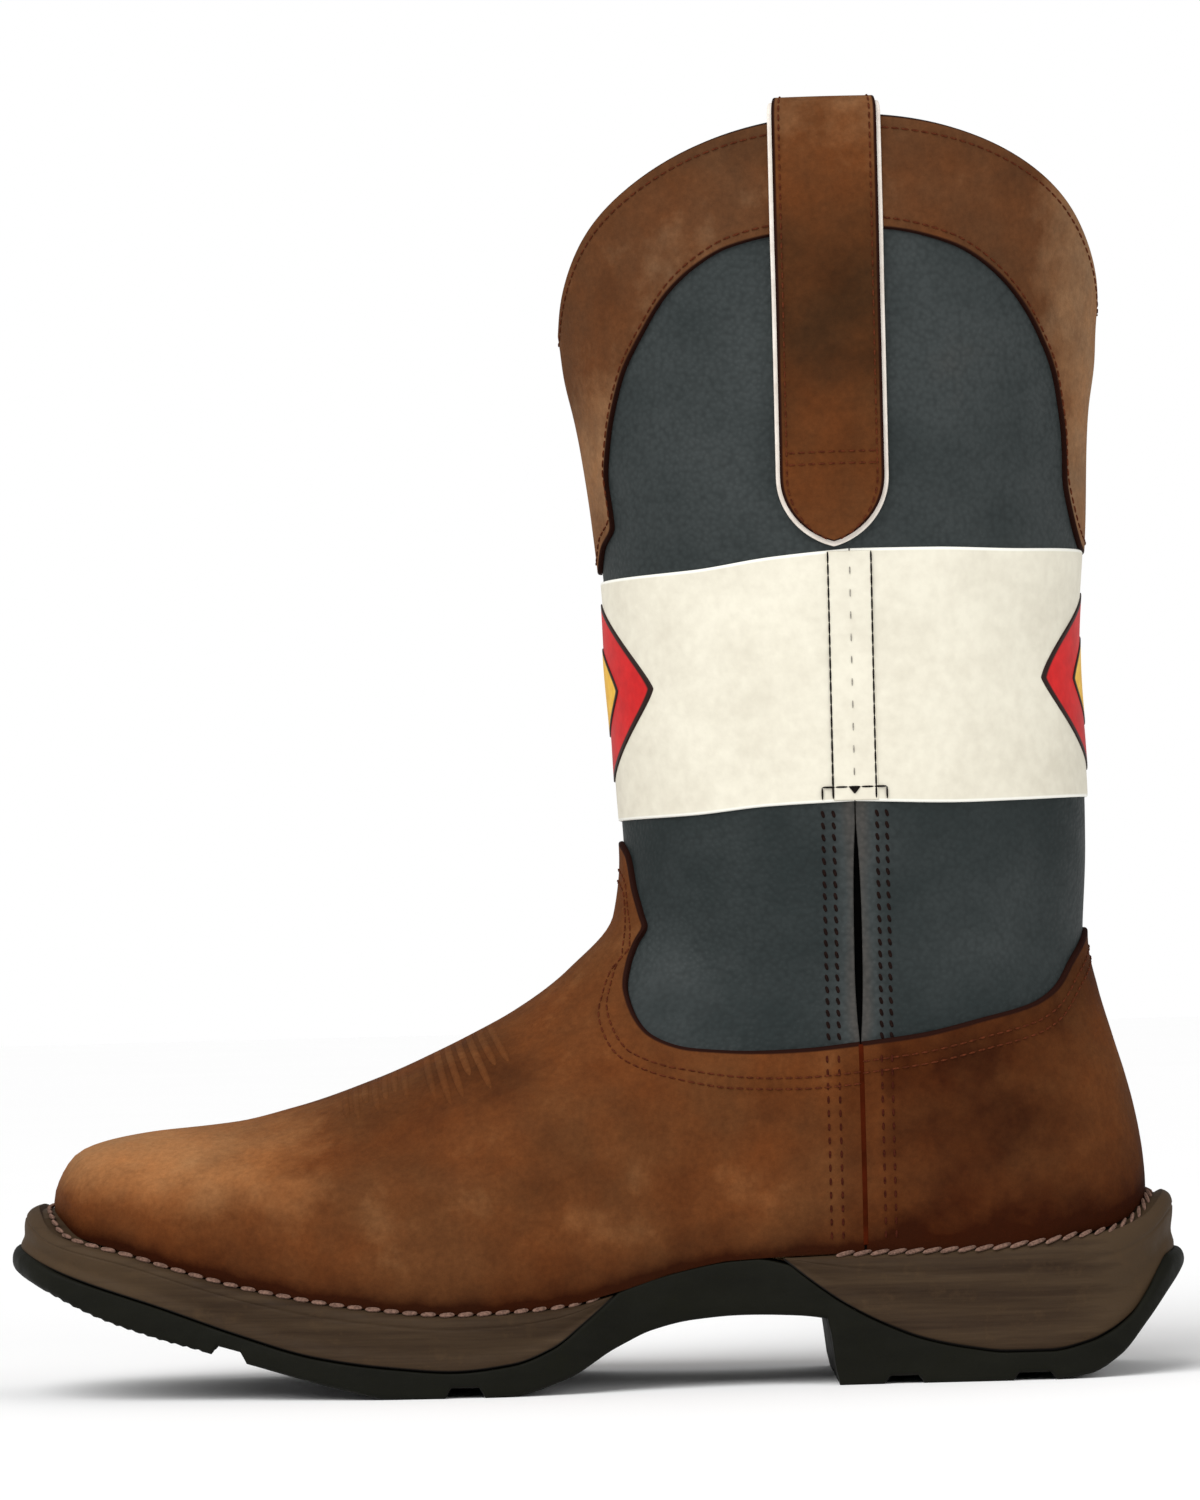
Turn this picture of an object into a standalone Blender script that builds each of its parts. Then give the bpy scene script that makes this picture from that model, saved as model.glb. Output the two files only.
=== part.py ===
"""A pull-on western boot for the left foot, built from the pieces that a bootmaker joins.

The toe points along -X, the outer side of the foot is -Y and +Z is up. The boot stands on z = 0, with the
origin below the middle of its box. Tables and sizes are in millimetres, and MM turns them into metres.

The upper is a tube of rings. A ring starts at a point of the front outline (toe, vamp, instep, shaft), ends
at a point of the back outline (heel, shaft), and swells sideways between them. Overlays are cut from shells
that follow the same rings a little further out.
"""

import math

import bmesh
import bpy
import numpy as np

MM = 0.001

# Driving dimensions
WALL = 2.2              # leather and lining of the upper
OVERLAY = 1.5           # vamp, counter and collar leather
SEAT_GAP = 0.3          # between pieces that meet
OVERLAY_GAP = 0.45      # between the faceted overlays and the upper below them
WELT = 3.0              # thickness of the stitched rim
WAIST_GAP = 0.6         # between the faceted upper and the rubber of the waist
INSOLE_RISE = 1.5       # insole above the line where the upper meets the sole
COLLAR_RISE = 47.5      # the collar's sides above its dips at front and back
SCALLOP_POWER = 0.75    # shape of the collar's curve between dip and side
SCALLOP_ROUND = 0.06    # rounding of the dips, as a share of the shaft's half width
SEAM_X = 68.6           # side seam, where vamp meets counter and front collar meets back collar
STRAP_X = 64.5          # middle of the pull straps
STRAP_WIDTH = 27.6
STRAP_THICK = 2.6
STRAP_LENGTH = 110.5    # outer leg, from the collar to the tip
STRAP_INNER = 62.0      # leg inside the shaft
STRAP_SINK = 0.6        # the loop's centre below the collar's edge
STRAP_TIP = 18.0        # length of the shield-shaped end
STRAP_TIP_POWER = 1.8   # exponent of that end's outline
STRAP_TIP_FLAT = 0.4    # the end is cut flat this far from its point

# Steps of the meshes
COLUMNS = 38            # around the upper
ROWS = 29               # from the sole up to the collar
WELT_STEPS = 19         # along one side of a welt
TIP_ROWS = 6            # along a strap's shield-shaped end,
LEG_ROWS = 8            # the rest of its outer leg,
LOOP_ROWS = 5           # its loop
INNER_ROWS = 5          # and its inner leg
STRAP_COLUMNS = 5       # across a strap
STRAP_RINGS = 3.0       # rings below the collar that the straps pass,
SHAFT_SAMPLES = 61      # and heights read over them
SMALL_STEP = 0.02       # step along and across rings for their directions
SMALL_TURN = 0.01       # step in angle for a direction round the shaft
LEAST_LEAN = 0.2        # least sine of the angle between a ring and the front outline
WALL_CREASE = math.radians(50)  # edges that fold more than this stay sharp on walls,
SLAB_CREASE = math.radians(35)  # and on slabs and strips

# Rings of the upper, from the line where it meets the sole up to the collar. rise lifts a ring's sides, sag
# gives it that share of the sole line's dip, and the rounds are the depths over which its ends round off.
RINGS = (
    # name         front_x  front_z  back_x  back_z  rise         sag    front_round  back_round
    ("sole_line",  -140.2,   46.0,   141.2,   43.8,  0.0,         1.00,  29.0,        36.0),
    ("toe_wall",   -140.6,   51.0,   141.2,   49.0,  0.0,         0.98,  30.0,        36.0),
    ("toe_corner", -135.4,   61.4,   140.9,   55.5,  0.0,         0.96,  31.0,        36.5),
    ("toe_top",    -116.0,   67.0,   140.2,   62.0,  0.0,         0.92,  32.0,        38.0),
    ("toe_back",    -84.0,   69.9,   138.9,   69.0,  0.0,         0.80,  38.0,        40.0),
    ("ball",        -57.0,   78.6,   137.0,   76.0,  0.0,         0.60,  46.0,        42.0),
    ("vamp",        -30.4,   89.6,   133.8,   86.0,  0.0,         0.30,  54.0,        45.5),
    ("instep",       -4.9,  106.0,   130.4,   99.0,  0.0,         0.10,  59.0,        51.0),
    ("throat",        8.0,  121.5,   128.2,  113.5,  0.0,         0.00,  60.2,        57.0),
    ("ankle",        10.2,  141.0,   129.3,  138.0,  0.0,         0.00,  59.6,        59.6),
    ("low_shaft",     8.6,  165.0,   129.2,  164.0,  0.0,         0.00,  60.3,        60.3),
    ("mid_shaft",     7.4,  190.0,   127.8,  189.0,  0.0,         0.00,  60.2,        60.2),
    ("band",          6.3,  212.0,   129.8,  212.0,  1.0,         0.00,  61.8,        61.8),
    ("high_shaft",    2.4,  245.0,   131.6,  246.5,  16.0,        0.00,  64.6,        64.6),
    ("collar",       -2.6,  275.0,   135.0,  279.5,  COLLAR_RISE, 0.00,  68.8,        68.8),
)
TOE_X, TOE_Z, HEEL_X, HEEL_Z = RINGS[0][1:5]
TOE_ROUND, HEEL_ROUND = RINGS[0][7:9]
RING_COLUMNS = ("front_x", "front_z", "back_x", "back_z", "rise", "sag", "front_round", "back_round")

# Outline of the foot seen from above, where the upper meets the sole: half width, and how far its middle
# line swings towards the inner side of the foot.
FOOT_PLAN = (
    # x       half_width  swing
    (-155.0,  37.0,        3.4),
    (-110.0,  40.0,        3.0),
    (-80.0,   45.2,        2.2),
    (-56.0,   48.6,        0.8),
    (-31.0,   47.8,       -1.6),
    (0.0,     40.5,       -3.6),
    (35.0,    34.0,       -2.9),
    (70.0,    33.6,       -1.0),
    (100.0,   34.4,        0.0),
    (155.0,   34.0,        0.0),
)
TOE_SQUARENESS = 2.7    # exponent of the toe's outline, 2 is an ellipse
HEEL_SQUARENESS = 2.1
TOE_TO_VAMP = (1.0, 4.0)        # rings over which the toe's squareness fades to an ellipse
BULGE = 0.035           # the foot's sides swell by this share above the sole line
BULGE_HEIGHT = 14.0

# Half width of the shaft at each height, and the heights where the foot's plan gives way to it.
SHAFT_WIDTH = (
    # z      half_width
    (60.0,   38.5),
    (110.0,  39.5),
    (140.0,  40.5),
    (180.0,  42.5),
    (212.0,  44.8),
    (275.0,  48.0),
    (330.0,  49.6),
)
FOOT_TO_SHAFT = (58.0, 120.0)

# Lines of the sole seen from the side.
SOLE_LINE = (           # where the upper meets the sole
    (-150.0, 50.0), (-140.0, 46.0), (-126.0, 40.4), (-112.0, 35.0), (-87.0, 28.0), (-62.0, 23.4),
    (-37.0, 21.0), (-12.0, 22.0), (4.0, 25.4), (20.0, 29.9), (35.0, 32.4), (60.0, 33.3),
    (95.0, 33.8), (115.0, 35.4), (130.0, 39.6), (140.0, 43.4), (150.0, 46.8),
)
TREAD_LINE = (          # where the midsoles meet the rubber; it passes the sole line in the waist
    (-153.0, 37.6), (-137.7, 32.6), (-112.7, 24.2), (-92.7, 16.7), (-72.7, 10.6), (-52.7, 7.6),
    (-37.5, 6.4), (-22.3, 7.9), (-12.1, 11.6), (-4.0, 17.6), (4.4, 24.8), (14.0, 36.0),
    (37.0, 40.0), (46.4, 32.9), (54.7, 26.3), (63.0, 20.4), (73.3, 14.9), (83.6, 10.9),
    (94.0, 8.6), (104.5, 7.3), (115.0, 7.3), (125.5, 9.4), (133.9, 14.4), (141.6, 21.6),
    (147.0, 27.0), (153.0, 29.6),
)
GROUND_LINE = (         # underside of the rubber, with the flat spots that carry the boot
    (-153.0, 33.0), (-142.0, 27.8), (-128.0, 21.4), (-113.0, 16.0), (-100.0, 12.2), (-90.0, 9.4),
    (-68.0, 3.2), (-52.0, 0.0), (-24.0, 0.0), (-7.3, 4.4), (4.1, 11.0), (13.7, 15.4),
    (24.2, 17.6), (36.8, 18.4), (48.3, 18.1), (58.2, 17.0), (61.0, 0.0), (112.0, 0.0),
    (125.0, 1.0), (133.7, 4.6), (141.4, 12.0), (147.8, 19.8), (153.0, 25.0),
)
GROOVES = (             # cross grooves of the tread
    # middle_x  width  depth
    (-95.0,     6.0,   2.6),
    (-34.5,     7.0,   2.6),
    (77.5,      7.0,   2.0),
    (111.0,     8.0,   2.0),
)
GROOVE_SLOPE = 1.6      # run of a groove's slanting side

WAIST_FRONT = (-8.0, 8.0)       # where the welted forefoot gives way to the bare rubber waist
WAIST_BACK = (40.0, 56.0)       # and the waist to the welted heel
FORE_WELT_END = 2.0
HEEL_WELT_START = 49.0
FORE_MIDSOLE_END = -0.5
HEEL_MIDSOLE_START = 52.0

# How far each layer of the sole stands out past the upper.
MARGINS = {
    # layer      toe    side  heel
    "welt":     (9.6,   4.2,  8.0),
    "midsole":  (11.0,  5.0,  9.6),
    "outsole":  (13.6,  5.8,  12.6),
    "insole":   (-3.3, -3.3, -3.3),
    "welt_in":  (-2.4, -2.4, -2.4),
}
TIP_START = 0.8         # the sole's layers start this far from their tips, as short flat ends
TOE_STATION = -150.0    # sections across the sole stand evenly from here
STATION_STEP = 9.0
STATION_MERGE = 0.3
TIP_STATIONS = np.array([-4.0, -1.0, 2.0, 5.0, 8.0, 10.0, 11.5])     # from the upper's tips outwards
EDGE_BEVEL = 1.4        # along the ground edge of the rubber
SOFT_BEVEL = 0.4        # along the lower edges of midsoles and insole
BEVEL_SHARE = 0.4       # most of a thin layer that its bevel may take

# Edges of the overlays seen from the side.
VAMP_LINE = (           # from the tongue on the shaft's front down and back to the side seam
    (2.0, 141.0), (9.8, 141.0), (11.8, 137.0), (12.8, 129.0), (14.6, 121.5), (15.4, 118.4),
    (13.0, 113.5), (11.0, 108.0), (9.9, 102.0), (11.2, 96.2), (15.2, 90.4), (25.5, 86.6),
    (40.0, 85.6), (55.0, 86.2), (SEAM_X - SEAT_GAP / 2, 87.6),
)
COUNTER_LINE = (        # from the side seam up to the back of the heel
    (SEAM_X + SEAT_GAP / 2, 87.6), (84.5, 89.6), (99.2, 92.8), (112.6, 96.2), (119.0, 100.4),
    (123.2, 107.2), (127.8, 114.2), (138.0, 116.5),
)
FRONT_COLLAR_LINE = (   # from the side seam forward and down the shaft's front
    (SEAM_X - SEAT_GAP / 2, 295.6), (51.6, 294.0), (40.0, 291.4), (32.2, 287.2), (24.5, 280.4),
    (19.1, 272.6), (12.9, 260.0), (9.4, 245.0), (8.6, 233.0), (9.6, 222.4), (7.2, 217.0),
    (5.9, 211.6), (-12.0, 210.0),
)
BACK_COLLAR_LINE = (    # from the side seam back and down the shaft's back
    (SEAM_X + SEAT_GAP / 2, 295.6), (79.7, 295.0), (96.2, 291.2), (108.4, 283.2), (117.6, 270.2),
    (122.8, 255.0), (124.6, 240.0), (124.8, 232.0), (126.4, 222.0), (128.6, 214.0), (148.0, 212.0),
)
CUTTER_REACH = 90.0     # half width of the cutters across the boot
FAR = 260.0             # a cutter's outer corners lie this far to the front or back,
ABOVE = 420.0           # this far up
BELOW = -20.0           # and this far down


# Curves and plans

def through(table, at, column=1):
    """Monotone cubic curve through a table's first column and another, read at the places `at`."""
    knots = np.array([row[0] for row in table], float)
    values = np.array([row[column] for row in table], float)
    at = np.asarray(at, float)
    step = np.diff(knots)
    slope = np.diff(values) / step
    product = slope[:-1] * slope[1:]
    total = np.where(product > 0, slope[:-1] + slope[1:], 1.0)
    tangent = np.concatenate([slope[:1], np.where(product > 0, 2 * product / total, 0.0), slope[-1:]])
    cell = np.clip(np.searchsorted(knots, at) - 1, 0, len(step) - 1)
    u = np.clip((at - knots[cell]) / step[cell], 0.0, 1.0)
    rise = values[cell + 1] - values[cell]
    first, last = tangent[cell] * step[cell], tangent[cell + 1] * step[cell]
    return values[cell] + u * (first + u * (3 * rise - 2 * first - last + u * (first + last - 2 * rise)))


def smooth(low, high, at):
    """0 below low, 1 above high, and an S-curve between them."""
    u = np.clip((np.asarray(at, float) - low) / (high - low), 0.0, 1.0)
    return u * u * (3 - 2 * u)


def rounding(depth, power=2.0):
    """Share of the full width at a depth of 0 to 1 into a rounded end."""
    left = 1.0 - np.clip(depth, 0.0, 1.0)
    return (1.0 - left ** power) ** (1.0 / power)


def waist(x):
    """1 in the waist of the sole, where no welt shows, and 0 under the forefoot and the heel."""
    return smooth(*WAIST_FRONT, x) * (1.0 - smooth(*WAIST_BACK, x))


def welt_seat(x):
    """Height of the face that welt and insole lie on."""
    depth = WAIST_GAP + (WELT + 2 * SEAT_GAP - WAIST_GAP) * (1.0 - waist(x))
    return through(SOLE_LINE, x) - depth


# The upper

def ring_values(v):
    """The ring table's columns at v, which counts rows of the table."""
    rows = [(i, *ring[1:]) for i, ring in enumerate(RINGS)]
    return {name: through(rows, v, i + 1) for i, name in enumerate(RING_COLUMNS)}


def sole_bow(x):
    """How far the sole line dips below the straight line between its toe end and its heel end."""
    straight = TOE_Z + (HEEL_Z - TOE_Z) * (x - TOE_X) / (HEEL_X - TOE_X)
    return through(SOLE_LINE, x) - straight


def side_point(ring, t):
    """x and z of a ring at share t of the way from its front to its back, before its sides rise."""
    x = ring["front_x"] + (ring["back_x"] - ring["front_x"]) * t
    line = ring["front_z"] + (ring["back_z"] - ring["front_z"]) * t
    ends = sole_bow(ring["front_x"]) * (1 - t) + sole_bow(ring["back_x"]) * t
    return x, line + ring["sag"] * (sole_bow(x) - ends)


def front_lean(v, ring):
    """Sine of the angle between a ring and the front outline, where they meet."""
    near, far = ring_values(v - SMALL_STEP), ring_values(v + SMALL_STEP)
    along = np.arctan2(far["front_z"] - near["front_z"], far["front_x"] - near["front_x"])
    x, z = side_point(ring, SMALL_STEP)
    inward = np.arctan2(z - ring["front_z"], x - ring["front_x"])
    return np.clip(np.abs(np.sin(along - inward)), LEAST_LEAN, 1.0)


def scallop(side):
    """Share of the collar's rise at a sideways share of 0 (front or back) to 1 (side), rounded in the dip."""
    def lift(s):
        return (s ** 2 + SCALLOP_ROUND ** 2) ** (SCALLOP_POWER / 2)
    return (lift(side) - lift(0.0)) / (lift(1.0) - lift(0.0))


def upper_point(v, angle):
    """Points of the upper's outer face: v counts rings, angle runs from the front round by the outer side."""
    ring = ring_values(v)
    t = (1.0 - np.cos(angle)) / 2
    x, z = side_point(ring, t)
    z = z + ring["rise"] * scallop(np.sin(angle))
    length = ring["back_x"] - ring["front_x"]
    toe_power = 2.0 + (TOE_SQUARENESS - 2.0) * (1.0 - smooth(*TOE_TO_VAMP, v))
    width = rounding(t * length * front_lean(v, ring) / ring["front_round"], toe_power)
    width = width * rounding((1 - t) * length / ring["back_round"], HEEL_SQUARENESS)
    on_shaft = smooth(*FOOT_TO_SHAFT, z)
    swell = 1.0 + BULGE * smooth(0.0, BULGE_HEIGHT, z - through(SOLE_LINE, x))
    foot = through(FOOT_PLAN, x) * swell
    width = width * (foot * (1 - on_shaft) + through(SHAFT_WIDTH, z) * on_shaft)
    middle = through(FOOT_PLAN, x, 2) * (1 - on_shaft)
    return np.stack([x, middle - np.sign(np.sin(angle)) * width, z], axis=-1)


def upper_grid(offset=0.0):
    """Points of the upper's grid, moved outwards by offset. Its lowest ring follows the sole line."""
    last = len(RINGS) - 1
    v, angle = np.meshgrid(np.linspace(0.0, last, ROWS), np.linspace(0, 2 * math.pi, COLUMNS, endpoint=False),
                           indexing="ij")
    points = upper_point(v, angle)
    around = np.roll(points, -1, axis=1) - np.roll(points, 1, axis=1)
    upward = np.gradient(points, axis=0)
    normal = np.cross(around, upward)
    normal[0, :, 2] = 0.0
    normal /= np.linalg.norm(normal, axis=-1, keepdims=True)
    points = points + offset * normal
    lift = SEAT_GAP if offset > 0 else SEAT_GAP / 2
    points[0, :, 2] = through(SOLE_LINE, points[0, :, 0]) + lift
    return points


# Blender objects

def material(name, colour, roughness):
    """A Principled material with one colour."""
    made = bpy.data.materials.new(name)
    made.use_nodes = True
    shader = made.node_tree.nodes["Principled BSDF"]
    shader.inputs["Base Color"].default_value = (*colour, 1.0)
    shader.inputs["Roughness"].default_value = roughness
    shader.inputs["Metallic"].default_value = 0.0
    return made


def add_object(name, points, faces, finish):
    """A mesh object under the boot's empty, from points in millimetres."""
    mesh = bpy.data.meshes.new(name)
    mesh.from_pydata((np.asarray(points, float).reshape(-1, 3) * MM).tolist(), [], faces)
    mesh.materials.append(finish)
    made = bpy.data.objects.new(name, mesh)
    bpy.context.scene.collection.objects.link(made)
    made.parent = BOOT
    return made


def tube_faces(rows, columns):
    """Triangles of a tube of points, row by row, closed around its columns."""
    faces = []
    for i in range(rows - 1):
        for j in range(columns):
            low, next_low = i * columns + j, i * columns + (j + 1) % columns
            high, next_high = low + columns, next_low + columns
            faces += [(low, next_low, next_high), (low, next_high, high)]
    return faces


def tube_wall(name, inner, outer, finish):
    """A tube with a wall between two grids of rings, closed along its lower and upper rims."""
    rows, columns = outer.shape[:2]
    count = rows * columns
    skin = tube_faces(rows, columns)
    faces = skin + [tuple(count + i for i in face[::-1]) for face in skin]
    for j in range(columns):
        here, there = j, (j + 1) % columns
        faces.append((there, here, count + here, count + there))
        here, there = here + count - columns, there + count - columns
        faces.append((here, there, count + there, count + here))
    made = add_object(name, np.concatenate([outer, inner]), faces, finish)
    made.data.shade_smooth()
    made.data.set_sharp_from_angle(angle=WALL_CREASE)
    return made


def side_cutter(name, outline):
    """A hidden prism across the boot with an outline of (x, z) points."""
    form = bmesh.new()
    ring = [form.verts.new((x * MM, -CUTTER_REACH * MM, z * MM)) for x, z in outline]
    face = form.faces.new(ring)
    side = bmesh.ops.extrude_face_region(form, geom=[face])["geom"]
    moved = [v for v in side if isinstance(v, bmesh.types.BMVert)]
    bmesh.ops.translate(form, vec=(0, 2 * CUTTER_REACH * MM, 0), verts=moved)
    bmesh.ops.recalc_face_normals(form, faces=form.faces)
    mesh = bpy.data.meshes.new(name)
    form.to_mesh(mesh)
    form.free()
    made = bpy.data.objects.new(name, mesh)
    bpy.context.scene.collection.objects.link(made)
    made.parent = BOOT
    made.hide_render = True
    made.display_type = "WIRE"
    return made


def overlay(name, outline, finish):
    """A leather overlay: the shell just outside the upper, kept where it lies inside the outline."""
    made = tube_wall(name, upper_grid(OVERLAY_GAP), upper_grid(OVERLAY_GAP + OVERLAY), finish)
    cut = made.modifiers.new("Cut", "BOOLEAN")
    cut.operation = "INTERSECT"
    cut.solver = "EXACT"
    cut.object = side_cutter(name + "_cutter", outline)
    return made


def loft(name, sections, finish):
    """A closed solid through sections, each the same number of points round one outline."""
    sections = np.asarray(sections, float)
    count, around = sections.shape[:2]
    faces = tube_faces(count, around)
    faces += [tuple(range(around))[::-1], tuple(range((count - 1) * around, count * around))]
    made = add_object(name, sections, faces, finish)
    form = bmesh.new()
    form.from_mesh(made.data)
    bmesh.ops.recalc_face_normals(form, faces=form.faces)
    form.to_mesh(made.data)
    form.free()
    made.data.shade_smooth()
    made.data.set_sharp_from_angle(angle=SLAB_CREASE)
    return made


# The sole

def plan_ends(layer):
    """The x of a sole layer's tips at toe and heel."""
    toe, _, heel = MARGINS[layer]
    return TOE_X - toe, HEEL_X + heel


def plan_half(layer, x):
    """Half width of a sole layer at x, rounded at its tips."""
    toe, side, heel = MARGINS[layer]
    toe_x, heel_x = plan_ends(layer)
    toe_round, heel_round = TOE_ROUND + toe / 2, HEEL_ROUND + heel / 2
    side = side * (1.0 - waist(x)) if side > 0 else side
    return ((through(FOOT_PLAN, x) + side) * rounding((x - toe_x) / toe_round, TOE_SQUARENESS)
            * rounding((heel_x - x) / heel_round, HEEL_SQUARENESS))


def stations(start, end, extra=()):
    """Places along the boot from start to end, shared by the layers of the sole so that their faces match."""
    evenly = np.arange(TOE_STATION, -TOE_STATION, STATION_STEP)
    near_tips = np.concatenate([TOE_X - TIP_STATIONS, HEEL_X + TIP_STATIONS])
    places = np.concatenate([evenly, near_tips, extra])
    places = np.unique(np.concatenate([[start, end], places[(places > start) & (places < end)]]))
    return places[np.concatenate([[True], np.diff(places[:-1]) > STATION_MERGE, [True]])]


def ground(x):
    """Height of the underside of the rubber, with its cross grooves."""
    height = through(GROUND_LINE, x)
    for middle, width, depth in GROOVES:
        inside = 1.0 - np.clip((np.abs(x - middle) - width / 2) / GROOVE_SLOPE, 0.0, 1.0)
        height = height + depth * inside
    return height


def groove_edges():
    """The places where grooves begin and end, and where the heel's front face stands."""
    edges = [middle + side * (width / 2 + slope) for middle, width, _ in GROOVES for side in (-1, 1)
             for slope in (0.0, GROOVE_SLOPE)]
    return edges + [row[0] for row in GROUND_LINE]


def slab(name, layer, x, bottom, top, bevel, finish):
    """A layer of the sole: sections across the boot between two heights, with its lower edges bevelled."""
    half = plan_half(layer, x)
    middle = through(FOOT_PLAN, x, 2)
    bevel = np.minimum(bevel, np.minimum(half, top - bottom) * BEVEL_SHARE)
    outline = [(-half, top), (-half, bottom + bevel), (-half + bevel, bottom), (half - bevel, bottom),
               (half, bottom + bevel), (half, top)]
    sections = np.stack([np.stack([x, middle + y, z], axis=-1) for y, z in outline], axis=1)
    return loft(name, sections, finish)


def outsole(finish):
    toe_x, heel_x = plan_ends("outsole")
    x = stations(toe_x + TIP_START, heel_x - TIP_START, groove_edges())
    top = np.minimum(through(TREAD_LINE, x) - SEAT_GAP / 2, welt_seat(x))
    return slab("outsole", "outsole", x, ground(x), top, EDGE_BEVEL, finish)


def midsole(name, start, end, finish):
    x = stations(start, end)
    return slab(name, "midsole", x, through(TREAD_LINE, x) + SEAT_GAP / 2, welt_seat(x), SOFT_BEVEL, finish)


def insole(finish):
    toe_x, heel_x = plan_ends("insole")
    x = stations(toe_x + TIP_START, heel_x - TIP_START)
    top = through(SOLE_LINE, x) + INSOLE_RISE
    return slab("insole", "insole", x, welt_seat(x) + SEAT_GAP, top, SOFT_BEVEL, finish)


def welt(name, tip, cut, finish):
    """A strip along the upper's edge, from one side of the waist round the toe (tip 0) or heel (tip 1)."""
    edges = []
    for layer in ("welt", "welt_in"):
        end = plan_ends(layer)[tip] + (TIP_START if tip == 0 else -TIP_START)
        one_side = cut + (end - cut) * (1.0 - np.cos(np.linspace(0.0, math.pi, WELT_STEPS))) / 2
        x = np.concatenate([one_side, one_side[::-1]])
        side = np.repeat([-1.0, 1.0], len(one_side))
        y = through(FOOT_PLAN, x, 2) + side * plan_half(layer, x)
        top, bottom = through(SOLE_LINE, x) - SEAT_GAP, welt_seat(x) + SEAT_GAP
        edges.append((np.stack([x, y, top], axis=-1), np.stack([x, y, bottom], axis=-1)))
    (out_top, out_low), (in_top, in_low) = edges
    return loft(name, np.stack([out_top, out_low, in_low, in_top], axis=1), finish)


# The pull straps

def shaft_wall(v, x, side):
    """Points of the shaft's outer (side -1) or inner (1) wall at ring v and place x, and the way outwards."""
    ring = ring_values(v)
    t = (x - ring["front_x"]) / (ring["back_x"] - ring["front_x"])
    angle = -side * np.arccos(1.0 - 2.0 * t)
    along = upper_point(v, angle + SMALL_TURN) - upper_point(v, angle - SMALL_TURN)
    outward = np.cross(along, [0.0, 0.0, 1.0])
    return upper_point(v, angle), outward / np.linalg.norm(outward, axis=-1, keepdims=True)


def ring_below_collar(drop):
    """The v of the ring a distance down the shaft's side from the collar."""
    last = float(len(RINGS) - 1)
    v = np.linspace(last - STRAP_RINGS, last, SHAFT_SAMPLES)
    height = upper_point(v, np.full_like(v, math.pi / 2))[:, 2]
    return np.interp(height[-1] - drop, height, v)


def strap_half_width(run):
    """Half width of a strap at a distance from its shield-shaped outer end."""
    return STRAP_WIDTH / 2 * rounding(np.maximum(run, STRAP_TIP_FLAT) / STRAP_TIP, STRAP_TIP_POWER)


def strap_face(offset, points, outward, counts):
    """One face of a strap: its middle sheet runs up outside the collar, round over it and down inside."""
    outside = 2 * OVERLAY_GAP + OVERLAY + STRAP_THICK / 2
    inside = WALL + OVERLAY_GAP + STRAP_THICK / 2
    radius, centre = (outside + inside) / 2 + offset, (outside - inside) / 2
    turn = np.linspace(0.0, math.pi, counts[1] + 1)[1:]
    reach = np.concatenate([np.full(counts[0], outside + offset), centre + radius * np.cos(turn),
                            np.full(counts[2], -inside - offset)])
    lift = np.concatenate([np.zeros(counts[0]), radius * np.sin(turn) - STRAP_SINK, np.zeros(counts[2])])
    up = np.array([0.0, 0.0, 1.0])
    return points + outward * reach[:, None, None] + up * lift[:, None, None]


def pull_strap(name, side, finish):
    """A strap folded over the collar: an outer leg with a shield-shaped end, a loop and an inner leg."""
    leg_run = np.linspace(STRAP_TIP, STRAP_LENGTH, LEG_ROWS)[1:]
    outer_run = np.concatenate([np.linspace(0.0, STRAP_TIP, TIP_ROWS), leg_run])
    inner_run = np.linspace(0.0, STRAP_INNER, INNER_ROWS)[1:]
    counts = (len(outer_run), LOOP_ROWS, len(inner_run))
    drop = np.concatenate([STRAP_LENGTH - outer_run, np.zeros(LOOP_ROWS), inner_run])
    half = np.concatenate([strap_half_width(outer_run), np.full(LOOP_ROWS + len(inner_run), STRAP_WIDTH / 2)])
    x = STRAP_X + half[:, None] * np.linspace(-1.0, 1.0, STRAP_COLUMNS)
    v = ring_below_collar(drop)[:, None] + np.zeros_like(x)
    points, outward = shaft_wall(v, x, side)
    outer_face = strap_face(STRAP_THICK / 2, points, outward, counts)
    inner_face = strap_face(-STRAP_THICK / 2, points, outward, counts)
    return loft(name, np.concatenate([outer_face, inner_face[:, ::-1]], axis=1), finish)


# The boot

def cutter_outline(line, end_x, end_z):
    """An overlay's edge line, closed round a far corner: out past its last point, then back to its first."""
    return list(line) + [(end_x, line[-1][1]), (end_x, end_z), (line[0][0], end_z)]


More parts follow.
